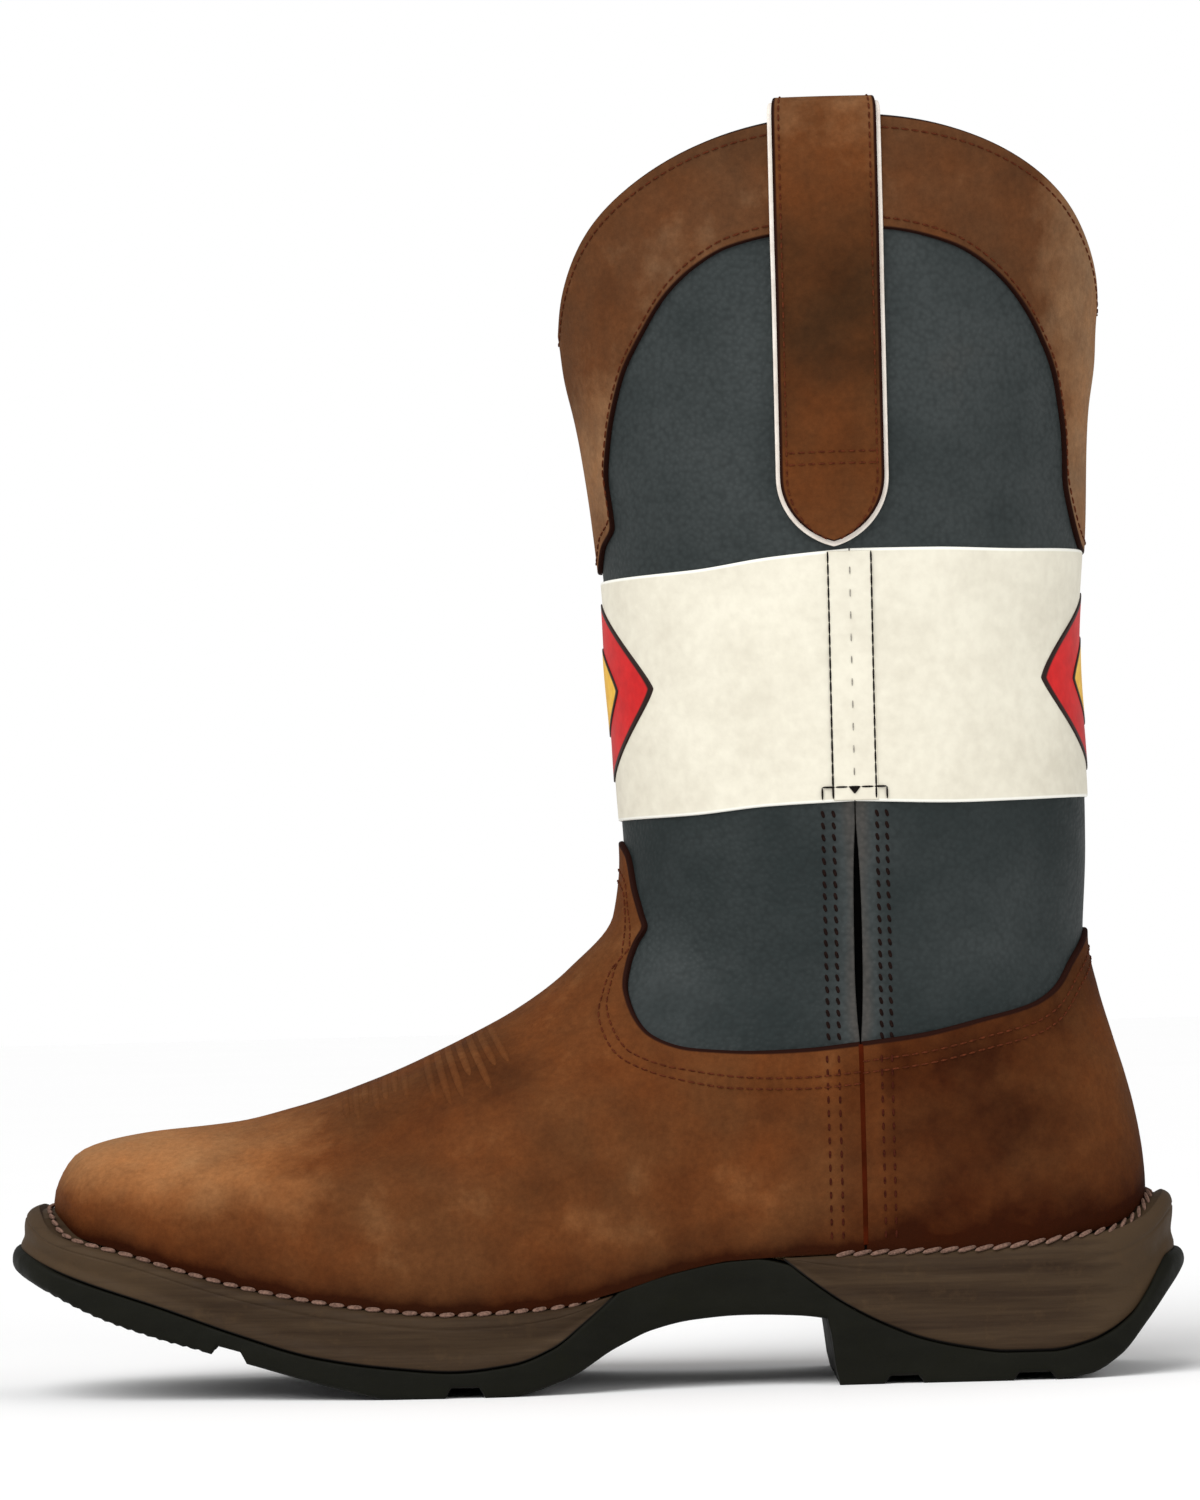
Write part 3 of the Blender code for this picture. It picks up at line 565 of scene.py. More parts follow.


# painted highlight along the cream band's cut edges, where they catch the light
CREAM_EDGE_HIGHLIGHT = srgb(236, 235, 226)
CREAM = plain_leather("cream_leather", srgb(207, 201, 184), srgb(222, 217, 200), 0.6, 0.8, CREAM_EDGE_HIGHLIGHT)
LINING = plain_leather("tan_lining", srgb(168, 138, 104), srgb(190, 160, 124), 0.75)
PIPING = plain_leather("pale_piping_leather", srgb(214, 202, 190), srgb(238, 230, 220), 0.5)
FOOTBED = plain_leather("footbed_leather", srgb(150, 116, 82), srgb(176, 140, 100), 0.8)
# painted shadow: a near-black sheet that fills the slit, where only shade falls
SLIT = plain_leather("painted_slit_shadow", srgb(2, 2, 2), srgb(5, 5, 5), 0.95, gloss=0.0)
RED = plain_leather("red_inlay_leather", srgb(176, 18, 22), srgb(206, 30, 30), 0.5, 0.9)
GOLD = plain_leather("gold_inlay_leather", srgb(214, 160, 40), srgb(238, 194, 78), 0.5, 0.6)
SEAM_RED = plain_leather("red_brown_seam_leather", srgb(46, 14, 3), srgb(68, 22, 6), 0.9, gloss=0.02)
print("made", CREAM.name, LINING.name, RED.name, GOLD.name)

# %% [markdown]
# ## Rubber and thread
# The midsoles are taupe rubber, streaked along the boot where the mould was filled; the tread is black.
# Stretching the noise along one axis makes clouds into streaks. Thread is a soft twisted cord, too thin
# here for its strands to be modelled, so a fine noise shades and roughens it.

# %% Rubber
RUBBER_EDGE, RUBBER_DYE = 0.5, srgb(14, 12, 10)  # dark line along the joint with the tread
SCUFF, SCUFF_LIGHT = 160.0, 1.7  # scuffs to the metre, and how much lighter they are
MOULD_GRAIN = 1500.0  # cells to the metre


def rubber(name, dark, light, roughness, streak):
    """Streaky clouds stretched along the boot, lighter by tone, with scuffs and a faint moulded grain."""
    f = Finish(name, Roughness=roughness, Specular_IOR_Level=0.12)
    streaks = f.noise(1.0, 5.0, 0.65, f.stretched(streak))
    scuff = f.noise(SCUFF, 5.0, 0.7)
    level = f.math("ADD", streaks, f.math("MULTIPLY", f.value("tone"), 0.4))
    colour = f.mix(f.scaled(level, 0.3, 0.72), dark, light)
    colour = f.mix(f.scaled(scuff, 0.56, 0.8, 0.0, 0.35), colour, shaded(light, SCUFF_LIGHT))
    colour = edge_dye_and_highlight(f, colour, RUBBER_EDGE, RUBBER_DYE)
    grain = f.bump(f.noise(MOULD_GRAIN, 3.0), 0.06, 0.7, f.bump(streaks, 0.25, 0.5))
    gloss = f.scaled(scuff, 0.3, 0.7, roughness - 0.1, roughness + 0.1)
    return f.done(Base_Color=colour, Normal=grain, Roughness=gloss)


TAUPE = rubber("taupe_rubber", srgb(39, 26, 15), srgb(65, 50, 34), 0.72, (14.0, 60.0, 340.0))
BLACK = rubber("black_rubber", srgb(8, 8, 2), srgb(15, 15, 6), 0.66, (26.0, 60.0, 120.0))
print("made", TAUPE.name, BLACK.name)

# %% Thread
TWIST = 1500.0  # cells to the metre
THREAD_HOLLOW_SHADE, THREAD_CROWN_HIGHLIGHT = 0.62, 1.25  # painted shade of a thread's hollows and painted highlight of its crowns


def thread(name, colour):
    """Thread in one hue, with painted shade in its hollows and a painted highlight on its crowns."""
    f = Finish(name, Roughness=0.85, Specular_IOR_Level=0.05)
    twist = f.noise(TWIST, 2.0, 0.5)
    shade = f.mix(f.scaled(twist, 0.35, 0.65), shaded(colour, THREAD_HOLLOW_SHADE), shaded(colour, THREAD_CROWN_HIGHLIGHT))
    return f.done(Base_Color=shade, Normal=f.bump(twist, 0.12, 0.6))


RUST_THREAD = thread("rust_brown_thread", srgb(82, 39, 21))
MAROON_THREAD = thread("maroon_thread", srgb(62, 25, 14))
DARK_THREAD = thread("dark_brown_thread", srgb(27, 15, 12))
BLACK_THREAD = thread("black_thread", srgb(24, 20, 18))
GREY_THREAD = thread("grey_thread", srgb(150, 146, 136))
TAN_THREAD = thread("tan_welt_thread", srgb(116, 90, 78))
print("made six threads, from", BLACK_THREAD.name, "to", TAN_THREAD.name)

# %% [markdown]
# ## Lines and patches on the face
# Panels are cut along lines drawn in side view, as a maker draws them on the last. A line's points are
# carried onto the face by finding, for each x, the ring that passes through the wanted height. Projecting a
# drawn curve with a Shrinkwrap modifier would come close, but would not tell v and angle, which every layer
# needs.

# %% Lines on the face
RING_SAMPLES = np.linspace(0.0, COLLAR, 1401)
LINE_POINTS = 400
TINY = 1e-9  # keeps a division going where two numbers are alike


def ring_share(ring, x):
    """Share of the way from a ring's front to its back at which it passes x."""
    return np.clip((x - ring["front_x"]) / (ring["back_x"] - ring["front_x"]), 0.0, 1.0)


def turn_at(v, x):
    """Angle on the outer side at which ring v passes x: x runs as (1 - cos angle) / 2 along a ring."""
    return np.arccos(1.0 - 2.0 * ring_share(ring_values(v), x))


def ring_at(x, z):
    """The v of the ring that passes through side-view points, by interpolating heights of many rings."""
    x, z = np.atleast_1d(x)[:, None], np.atleast_1d(z)[:, None]
    ring = ring_values(RING_SAMPLES)
    t = ring_share(ring, x)
    height = side_point(ring, t)[1] + ring["rise"] * scallop(2 * np.sqrt(t * (1 - t)))
    cell = np.clip((height < z).sum(axis=1), 1, len(RING_SAMPLES) - 1)
    low = np.take_along_axis(height, cell[:, None] - 1, axis=1)[:, 0]
    high = np.take_along_axis(height, cell[:, None], axis=1)[:, 0]
    share = np.clip((z[:, 0] - low) / np.maximum(high - low, TINY), 0.0, 1.0)
    return RING_SAMPLES[cell - 1] + share * (RING_SAMPLES[1] - RING_SAMPLES[0])


def run_along(points):
    """Distance along lines of points, summed from their first point."""
    step = np.linalg.norm(np.diff(points, axis=0), axis=-1)
    return np.concatenate([np.zeros((1,) + step.shape[1:]), np.cumsum(step, axis=0)])


def drawn_line(table):
    """A smooth side-view line through points: x and z are each a monotone cubic of the distance run."""
    table = np.array(table, float)
    run = run_along(table)
    rows = np.column_stack([run, table])
    at = np.linspace(0.0, run[-1], LINE_POINTS)
    return through(rows, at, 1), through(rows, at, 2)


print("heights are looked up on", len(RING_SAMPLES), "rings")

# %% Lines from seam to seam
SEAM_X = 68.6  # side seam


def seam_turn(v):
    """Angle of the side seam on ring v."""
    return turn_at(v, SEAM_X)


def front_turn(share, v):
    """Angle at a share of -1 (inner seam) over 0 (front) to 1 (outer seam)."""
    return share * seam_turn(v)


def back_turn(share, v):
    """Angle at a share of -1 (outer seam) over 0 (back) to 1 (inner seam)."""
    return math.pi + share * (math.pi - seam_turn(v))


def edge_line(table, turn):
    """A side-view line from a centre to the seam, mirrored to run from seam to seam, as shares and v."""
    x, z = drawn_line(table)
    v = ring_at(x, z)
    angle = turn_at(v, x)
    share = angle / seam_turn(v) if turn is front_turn else (math.pi - angle) / (math.pi - seam_turn(v))
    share = np.maximum.accumulate(np.clip(share, 0.0, 1.0))
    share[0], share[-1] = 0.0, 1.0
    return np.concatenate([np.stack([-share, v], axis=-1)[:0:-1], np.stack([share, v], axis=-1)])


def level_line(v):
    """The line along one ring from seam to seam."""
    return np.stack([np.linspace(-1.0, 1.0, 2 * LINE_POINTS), np.full(2 * LINE_POINTS, float(v))], axis=-1)


print("the seam leaves the sole line at %.2f of a half turn" % float(seam_turn(0.0) / math.pi))

# %% [markdown]
# ## Patches
# A patch is what a cutter calls a pattern piece: all the leather between a lower and an upper line. Its
# rows and columns are packed closely near the borders, so that cut edges can be rounded over, and its rows
# are measured in millimetres along the face, so that an edge is as wide at the toe as on the shaft.

# %% Spacing of rows and columns
BORDER = np.array([0.0, 0.12, 0.3, 0.55, 0.85, 1.25, 1.8, 2.6])  # distances of the close rows from an edge


def spread(length, inner):
    """Distances along lines of some lengths: close together near both ends, even between them. Where a line
    is short, each end takes a third of it."""
    length = np.atleast_1d(np.asarray(length, float))
    near = BORDER[:, None] * np.minimum(1.0, length / (3 * BORDER[-1]))
    even = np.linspace(0.0, 1.0, inner + 2)[1:-1, None]
    middle = near[-1] + (length - 2 * near[-1]) * even
    return np.concatenate([near, middle, length - near[::-1]])


def place_along(line, run, at):
    """Points of one line at distances along it."""
    return np.stack([np.interp(at, run, line[:, i]) for i in range(line.shape[1])], axis=-1)


def shares_down(run, at):
    """For each column, the share of its samples at which the distance run reaches a wanted distance."""
    cell = np.clip((run[None] <= at[:, None]).sum(axis=1) - 1, 0, len(run) - 2)
    low, high = np.take_along_axis(run, cell, axis=0), np.take_along_axis(run, cell + 1, axis=0)
    return (cell + (at - low) / (high - low)) / (len(run) - 1)


print(len(BORDER), "close rows along each cut edge")

# %% Patches between two lines
COLUMN_SAMPLES = 61  # points at which a column is measured


class Patch:
    """Rows and columns ruled between two lines of (share, v): columns at matching shares of both lines'
    lengths, rows at distances measured along each column."""

    def __init__(self, lower, upper, turn, columns, rows):
        """Rules the grid, and keeps each point's distances from both lines and from the sides."""
        self.turn = turn
        ends = []
        for line in (lower, upper):
            run = run_along(skin(line[:, 1], turn(line[:, 0], line[:, 1]), 0.0)[0])
            at = spread(run[-1], columns)[:, 0]
            ends.append(place_along(line, run, at))
        self.low, self.high = ends
        sample = np.linspace(0.0, 1.0, COLUMN_SAMPLES)[:, None, None]
        grid = self.low + (self.high - self.low) * sample
        self.run = run_along(skin(grid[..., 1], turn(grid[..., 0], grid[..., 1]), 0.0)[0])
        self.from_low = spread(self.run[-1], rows)
        self.from_high = self.run[-1] - self.from_low
        near = np.full(self.low.shape[0], BORDER[-1])
        near[:len(BORDER)], near[-len(BORDER):] = BORDER, BORDER[::-1]
        self.from_side = np.broadcast_to(near, self.from_low.shape)
        self.share, self.v = self.at(self.from_low)

    def at(self, distance):
        """Share and v at distances up each column."""
        place = shares_down(self.run, distance)[..., None]
        found = self.low + (self.high - self.low) * place
        return found[..., 0], found[..., 1]

    def stitch_line(self, distance, offset):
        """Points and outward directions along the patch, a distance below its upper line."""
        share, v = self.at(self.run[-1:] - distance)
        return [grid[0] for grid in skin(v, self.turn(share, v), offset)]


print("columns of a patch are measured at", COLUMN_SAMPLES, "points")

# %% Cut edges
EDGE_FILL = 6  # points to a step when a cut line is filled in


def rolled(distance, radius):
    """How far a rounded edge has dropped at a distance from it: a quarter circle."""
    left = 1.0 - np.clip(distance / radius, 0.0, 1.0)
    return radius * (1.0 - np.sqrt(1.0 - left ** 2))


def edge_distance(points, line):
    """Distance from each point of a grid to the nearest point of a line, filled in between its own points."""
    count = len(line) - 1
    fine = place_along(line, np.arange(count + 1), np.linspace(0.0, count, EDGE_FILL * count + 1))
    size = (fine ** 2).sum(axis=-1)
    square = [((row ** 2).sum(axis=-1)[:, None] + size - 2 * row @ fine.T).min(axis=1) for row in points]
    return np.sqrt(np.maximum(square, 0.0))


print("half way over an edge of 1 mm: %.2f mm down" % rolled(0.5, 1.0))

# %% [markdown]
# ## The shaft and its lining
# Under the overlays the upper is one wall of leather, slate outside and lined inside, open at the collar.
# It is a closed tube: an outer grid, an inner grid a wall's thickness further in, and a rounded rim on top.
# A Solidify modifier would make the wall too, but the rim and the lining's own finish are easier this way.

# %% Seat on the sole
SEAT_GAP = 0.3
TOE_DIP, TOE_DIP_X = 1.8, (-114.0, -136.0)  # how far the leather dips behind the toe's lip, and where
HEEL_DIP = 2.3  # and beside the heel,
HEEL_DIP_X = (118.0, 133.0, 137.0, 142.0)  # where it comes and goes


def seat_line(x):
    """Height of the leather's seat: the sole line less a dip at the toe and one beside the heel."""
    beside_heel = smooth(*HEEL_DIP_X[:2], x) * (1.0 - smooth(*HEEL_DIP_X[2:], x))
    return through(SOLE_LINE, x) - TOE_DIP * smooth(*TOE_DIP_X, x) - HEEL_DIP * beside_heel


def seated(points):
    """The lowest row of a grid put a gap over the seat line."""
    points[0, :, 2] = seat_line(points[0, :, 0]) + SEAT_GAP
    return points


print("seat under the ball of the foot: %.1f mm" % seat_line(FOOT_PLAN[3][0]))

# %% Upper wall
WALL = 2.2
PANEL_LIFT = 0.75  # the upper slate panel lies this far over the base wall
LIFT_HEIGHTS = (160.0, 195.0)  # and comes up to that between these heights, under the band
RIM_STEPS = np.array([6.0, 3.0, 1.6, 0.9, 0.5, 0.25, 0.1, 0.0])  # distances of the last rows from the rim
RIM_ROLL = 0.9  # rounding of the rim, outside and inside
MM_PER_RING = 60.0  # height of the last ring at the sides
UPPER_ROWS, UPPER_COLUMNS = 112, 200
WALL_TONE = 0.35


def make_upper():
    """The wall as a closed tube of two grids, slate outside and lining inside."""
    rim = COLLAR - RIM_STEPS / MM_PER_RING
    rows = np.concatenate([np.linspace(0.0, rim[0], UPPER_ROWS, endpoint=False), rim])
    turns = full_turn(UPPER_COLUMNS)
    v, angle = np.meshgrid(rows, turns, indexing="ij")
    lift = PANEL_LIFT * smooth(*LIFT_HEIGHTS, upper_point(v, angle)[..., 2])
    roll = rolled((COLLAR - v) * MM_PER_RING, RIM_ROLL)
    grids = [seated(skin(v, angle, lift - roll)[0]), seated(skin(v, angle, roll - WALL)[0])]
    faces = shell_faces(*v.shape, wrap=True)
    values = {"tone": np.full((2, *v.shape), WALL_TONE)}
    piece = add_piece("upper_wall", grids, faces, [SLATE, LINING], ["upper"], values)
    inside = np.zeros(len(faces), np.int32)
    inside[len(grid_quads(*v.shape, wrap=True)):] = 1
    piece.data.polygons.foreach_set("material_index", inside)
    return piece


upper_wall = make_upper()
print("upper wall:", len(upper_wall.data.polygons), "faces")

# %% [markdown]
# ## Panels
# Every panel is the same recipe: a patch between two lines, lifted off the face, with its cut edges rolled
# over. The distance from the cut line is stored so that the finish can dye the edge, and tone is a
# map of where the leather is lighter (above 0) or darker (below 0). Painting the edges by hand
# would also do, but then every change of a line would mean painting again.

# %% Panel maker
LOWER_CUT, UPPER_CUT, BOTH_CUT = {0: 0.0}, {-1: 0.0}, {0: 0.0, -1: 0.0}
PANEL_ROLL = 0.8


def make_panel(name, patch, low, high, finish, replaces=(), cut=UPPER_CUT, roll=PANEL_ROLL, tone=None,
               fit=1.0, on_sole=False):
    """A closed panel over a patch, from a low to a high offset, rolled at its edges, apart from a lower one
    on the sole. cut tells which of its first and last rows are dyed, and how much wider than usual; fit is
    the share of the patch's width that it fills."""
    angle = patch.turn(patch.share * fit, patch.v)
    offset = high - rolled(patch.from_high, roll) - rolled(patch.from_side, roll / 2)
    if not on_sole:
        offset = offset - rolled(patch.from_low, roll)
    grids = [skin(patch.v, angle, offset)[0], skin(patch.v, angle, low)[0]]
    if on_sole:
        grids = [seated(grid) for grid in grids]
    near = [EDGE_REACH + more - edge_distance(grids[0], grids[0][row]) for row, more in cut.items()]
    values = {"edge_near": both(np.clip(np.max(near, axis=0), 0.0, EDGE_REACH))}
    if tone is not None:
        values["tone"] = both(tone(grids[0]))
    return add_piece(name, grids, shell_faces(*patch.v.shape), finish, replaces, values)


print("panels' edges are rolled over %.1f mm" % PANEL_ROLL)

# %% [markdown]
# ## Lower quarters
# Below the band the shaft is two slate quarters. They meet at the side seams, where the folded edges part
# in a slit. A hole could be cut with a Boolean; here each quarter is narrowed beside the slit, which keeps
# its grid even and its edges rolled.

# %% Lower quarters and the slit between them
QUARTER_LOW, QUARTER_HIGH = 5.2, 9.55  # rings that they reach, hidden under their neighbours
QUARTER_BASE = 0.08  # their backs lie just over the wall
QUARTER_COLUMNS, QUARTER_ROWS = 110, 40
FOLD_TONE, FOLD_REACH = 2.4, 4.4  # paler folded strips beside the seam,
QUARTER_TONE = -0.35  # on a dark ground
SLIT_MIDDLE, SLIT_REACH = 115.5, 27.5  # height of the slit's middle, and half its height
SLIT_HALF, SEAM_HALF = 0.9, 0.12  # half widths of the slit and of the closed seam
SLIT_POWER = 2.4  # how square the slit's ends are
MM_PER_SHARE = 96.0  # width of half a quarter, from its centre to the seam


def slit_share(v):
    """Share of a quarter's width left beside the slit, which is 1 - |u|^p wide in side view."""
    z = upper_point(v, seam_turn(v))[..., 2]
    parted = 1.0 - np.abs((z - SLIT_MIDDLE) / SLIT_REACH) ** SLIT_POWER
    gap = SEAM_HALF + SLIT_HALF * np.clip(parted, 0.0, None)
    return 1.0 - gap / MM_PER_SHARE


def quarter_tone(points):
    """Dark, with paler folded strips beside the seam."""
    return FOLD_TONE * bell(points[..., 0] - SEAM_X, FOLD_REACH) + QUARTER_TONE


for name, turn in (("lower_front_quarter", front_turn), ("lower_back_quarter", back_turn)):
    patch = Patch(level_line(QUARTER_LOW), level_line(QUARTER_HIGH), turn, QUARTER_COLUMNS, QUARTER_ROWS)
    patch.share = patch.share * slit_share(patch.v)
    quarter = make_panel(name, patch, QUARTER_BASE, PANEL_LIFT, SLATE, cut=LOWER_CUT,
                         tone=quarter_tone)
    print(name + ":", len(quarter.data.polygons), "faces")

# %% [markdown]
# ## Patches on the side seam
# Along each side seam lie narrow strips: a near-black sheet behind the slit, which is painted shadow, and a
# cream strip over the band's joint. Each is a small grid in side view, carried onto the outer or the inner
# side of the shaft. Thin boxes would be quicker to make, but they would not bend with the leather.

# %% Side strips
SIDES = {"outer": 1.0, "inner": -1.0}  # sign of the angle on each side
STRIP_COLUMNS, STRIP_ROWS, STRIP_ROLL = 6, 40, 0.35
# Each strip: x of its middle at foot and head, its half widths there, and z of foot and head.
SLIT_SHADOW_STRIP = ((68.4, 68.8), (3.2, 3.2), (84.0, 147.5))
BAND_STRIP = ((69.0, 68.5), (5.6, 5.6), (149.4, 213.2))
SLIT_LOW, SLIT_HIGH = 0.02, 0.1  # offsets of the painted shadow sheet behind the slit
STRIP_LOW, STRIP_HIGH = 1.62, 2.0  # and of the strip over the band's joint


def side_skin(x, z, sign, offset):
    """Side-view points carried onto one side of the upper, and the ways outwards there."""
    x, z = np.broadcast_arrays(np.asarray(x, float), np.asarray(z, float))
    v = ring_at(x.ravel(), z.ravel()).reshape(x.shape)
    return skin(v, sign * turn_at(v, x), offset)


def side_strip(name, shape, sign, low, high, finish, roll=STRIP_ROLL):
    """A closed strip about a straight line in side view, with straight sides and rolled edges."""
    middle, halves, (z_low, z_high) = shape
    share = spread(2 * max(halves), STRIP_COLUMNS)[:, 0] / max(halves) - 1.0
    z, share = np.meshgrid(spread(z_high - z_low, STRIP_ROWS)[:, 0] + z_low, sign * share, indexing="ij")
    half = np.interp(z, (z_low, z_high), halves)
    x = np.interp(z, (z_low, z_high), middle) + share * half
    from_edge = np.minimum(half * (1.0 - np.abs(share)), np.minimum(z - z_low, z_high - z))
    points = [side_skin(x, z, sign, high - rolled(from_edge, roll))[0], side_skin(x, z, sign, low)[0]]
    return add_piece(name, points, shell_faces(*x.shape), finish)


for side, sign in SIDES.items():
    # a near-black sheet of painted shadow behind the slit
    side_strip(side + "_slit_shadow_sheet", SLIT_SHADOW_STRIP, sign, SLIT_LOW, SLIT_HIGH, SLIT)
    side_strip(side + "_band_strip", BAND_STRIP, sign, STRIP_LOW, STRIP_HIGH, CREAM)
print("strips on the", " and the ".join(SIDES), "side seam")

# %% [markdown]
# ## Cream band
# A smooth cream band runs round the shaft over the edges of the slate panels, in two halves that meet at
# the side seams. It is a patch like the others, with both of its lines cut and a painted highlight along
# them.

# %% Cream band
BAND_LOW, BAND_HIGH = 0.85, 1.6
BAND_COLUMNS, BAND_ROWS = 96, 34
BAND_ROLL, BAND_FIT = 0.5, 0.9985
# Each half: x and z of its lower line and of its upper line, from the centre to the seam.
FRONT_BAND = (((10.0, 146.2), (27.0, 146.7), (46.6, 148.4), (SEAM_X, 149.2)),
              ((6.4, 208.9), (28.4, 209.7), (48.1, 212.1), (SEAM_X, 213.8)))
BACK_BAND = (((129.3, 149.4), (110.0, 148.6), (95.3, 148.3), (SEAM_X, 149.2)),
             ((129.7, 214.0), (110.0, 213.4), (90.0, 213.8), (SEAM_X, 213.8)))
for name, lines, turn in (("front_band", FRONT_BAND, front_turn), ("back_band", BACK_BAND, back_turn)):
    lower, upper = (edge_line(line, turn) for line in lines)
    patch = Patch(lower, upper, turn, BAND_COLUMNS, BAND_ROWS)
    make_panel(name, patch, BAND_LOW, BAND_HIGH, CREAM, cut=BOTH_CUT, roll=BAND_ROLL,
               fit=BAND_FIT)
    print(name + ": %.1f mm high at the seam" % patch.run[-1, -1])

# %% [markdown]
# ## Vamp and counter
# The brown foot is two overlays that meet at the side seams. The vamp climbs the shaft's front in a tongue
# with a wave on each side, the counter climbs the back. Tone is partly the leather's own and partly painted
# light and shade: tan over the toe, from the stretched skin and from painted light on its top; dark along the
# welt, from dye and painted shade, with a painted contact shadow right along it; dark beside the seam and low
# on the counter; and a painted sheen down the counter's back. Soft spots placed in side view give that with
# a few rows of numbers, where a painted mask would be one more file to keep.

# %% Lines of vamp and counter
VAMP_LINE = (
    (10.2, 141.0), (11.8, 137.0), (12.8, 129.0), (14.6, 121.5), (15.4, 118.4), (13.0, 113.5), (11.0, 108.0),
    (9.9, 102.0), (11.2, 96.2), (15.2, 90.4), (25.5, 86.6), (40.0, 85.6), (55.0, 86.2), (SEAM_X, 87.6),
)
COUNTER_LINE = (
    (128.3, 115.6), (127.4, 113.6), (123.2, 107.2), (119.0, 100.4), (112.6, 96.2), (99.2, 92.8), (84.5, 89.6),
    (SEAM_X, 87.6),
)
print("the vamp climbs to z = %.0f mm and the counter to %.0f mm" % (VAMP_LINE[0][1], COUNTER_LINE[0][1]))

# %% Tone, painted light and painted shade of vamp and counter
VAMP_PATCHES = (
    # x      z      reach_x  reach_z  tone
    # the first patch is the tan of the stretched toe, with painted light on its top
    (-124.0,  66.0,  30.0,    11.0,    1.30),
    (-96.0,   60.0,  28.0,    14.0,    0.45),
    (-55.0,   72.0,  12.0,     8.0,   -0.35),
    (-32.0,   84.0,  15.0,    10.0,   -0.75),
    (-60.0,   40.0,  40.0,    14.0,   -0.10),
    (40.0,    72.0,  22.0,    16.0,   -0.10),
    (10.0,   110.0,  16.0,    22.0,   -0.10),
)
COUNTER_PATCHES = (  # the same columns
    (92.0,   84.0,  20.0,    10.0,   -0.35),
    (98.0,   56.0,  24.0,    16.0,   -0.25),
    # this patch is painted sheen down the counter's back edge
    (134.0,  74.0,  14.0,    26.0,    0.80),
    (84.0,   70.0,  12.0,    18.0,   -0.10),
)
VAMP_TONE, COUNTER_TONE = 0.0, -0.72  # tone away from the patches
WELT_DYE_AND_SHADE, WELT_DYE_AND_SHADE_UP = 0.6, 10.0  # darker near the welt, from dye and painted shade, and how far up,
WELT_CONTACT_SHADOW, WELT_CONTACT_SHADOW_UP = 0.9, 3.2  # and a painted contact shadow right along it
SEAM_TONE, SEAM_STRIP = -0.42, (3.6, 8.0)  # tone beside the seam, and the half widths over which it fades


def foot_tone(patches, base):
    """Tone: a base, Gaussian patches in side view, a seam strip, and dye and painted shade at the welt."""
    def tone(points):
        """The base and all that is added to it, at points."""
        x, z = points[..., 0], points[..., 2]
        level = np.full_like(x, base)
        for middle_x, middle_z, reach_x, reach_z, most in patches:
            level += most * bell(x - middle_x, reach_x) * bell(z - middle_z, reach_z)
        above = z - seat_line(x)
        level += (SEAM_TONE - level) * (1.0 - smooth(*SEAM_STRIP, np.abs(x - SEAM_X)))
        # dye and painted shade near the welt, and a painted contact shadow right along it
        level = level - WELT_DYE_AND_SHADE * bell(above, WELT_DYE_AND_SHADE_UP)
        return level - WELT_CONTACT_SHADOW * bell(above, WELT_CONTACT_SHADOW_UP)
    return tone


print("patches of tone and painted light:", len(VAMP_PATCHES), "and", len(COUNTER_PATCHES))

# %% Vamp and counter
FOOT_LOW, FOOT_HIGH = 0.85, 2.1
FOOT_FIT = 0.9988
VAMP_GRID, COUNTER_GRID = (330, 84), (150, 50)  # columns and rows


def foot_panel(name, line, turn, grid, tone, node):
    """A brown overlay from the sole to a line, and the patch that it covers."""
    patch = Patch(level_line(0.0), edge_line(line, turn), turn, *grid)
    piece = make_panel(name, patch, FOOT_LOW, FOOT_HIGH, BROWN, [node], tone=tone,
                       fit=FOOT_FIT, on_sole=True)
    print(name + ":", len(piece.data.polygons), "faces")
    return patch


vamp_patch = foot_panel("vamp_leather", VAMP_LINE, front_turn, VAMP_GRID,
                        foot_tone(VAMP_PATCHES, VAMP_TONE), "vamp")
counter_patch = foot_panel("counter_leather", COUNTER_LINE, back_turn, COUNTER_GRID,
                           foot_tone(COUNTER_PATCHES, COUNTER_TONE), "counter")

# %% [markdown]
# ## Collar
# A brown facing follows the scalloped collar and runs down the shaft's front and back to the band. It is a
# patch between its lower line and the collar's ring, dyed along both edges. A bead along a curve could
# stand for it, but a facing of its own shows the real step where it ends on the slate.

# %% Collar facings
FRONT_COLLAR_LINE = (
    (6.3, 210.6), (7.2, 217.0), (9.6, 222.4), (8.6, 233.0), (9.4, 245.0), (12.9, 260.0), (19.1, 272.6),
    (24.5, 280.4), (32.2, 287.2), (40.0, 291.4), (51.6, 294.0), (SEAM_X, 295.6),
)
BACK_COLLAR_LINE = (
    (129.8, 213.0), (128.4, 215.0), (126.4, 222.0), (124.8, 232.0), (124.6, 240.0), (122.8, 255.0),
    (117.6, 270.2), (108.4, 283.2), (96.2, 291.2), (79.7, 295.0), (SEAM_X, 295.6),
)
COLLAR_CUT = {0: -0.35, -1: -0.6}  # the dye is narrower than usual, most of all along the rim
COLLAR_COLUMNS, COLLAR_ROWS = 230, 40
RIM_INSET = 0.3  # the facing ends this far below the rim
# Soft humps of tone: the most, the middle and the reach, along x or z.
# painted sheen down the back edge of the collar facing
BACK_SHEEN_X = (0.9, 134.0, 11.0)
FRONT_STRIP_X, FRONT_LIGHT_Z, FRONT_DARK = (1.0, 4.0, 14.0), (0.9, 236.0, 20.0), 0.15
RIM_SHADE_Z = (-0.15, 318.0, 14.0)


def hump(at, most, middle, reach):
    """A Gaussian hump about a middle."""
    return most * bell(at - middle, reach)


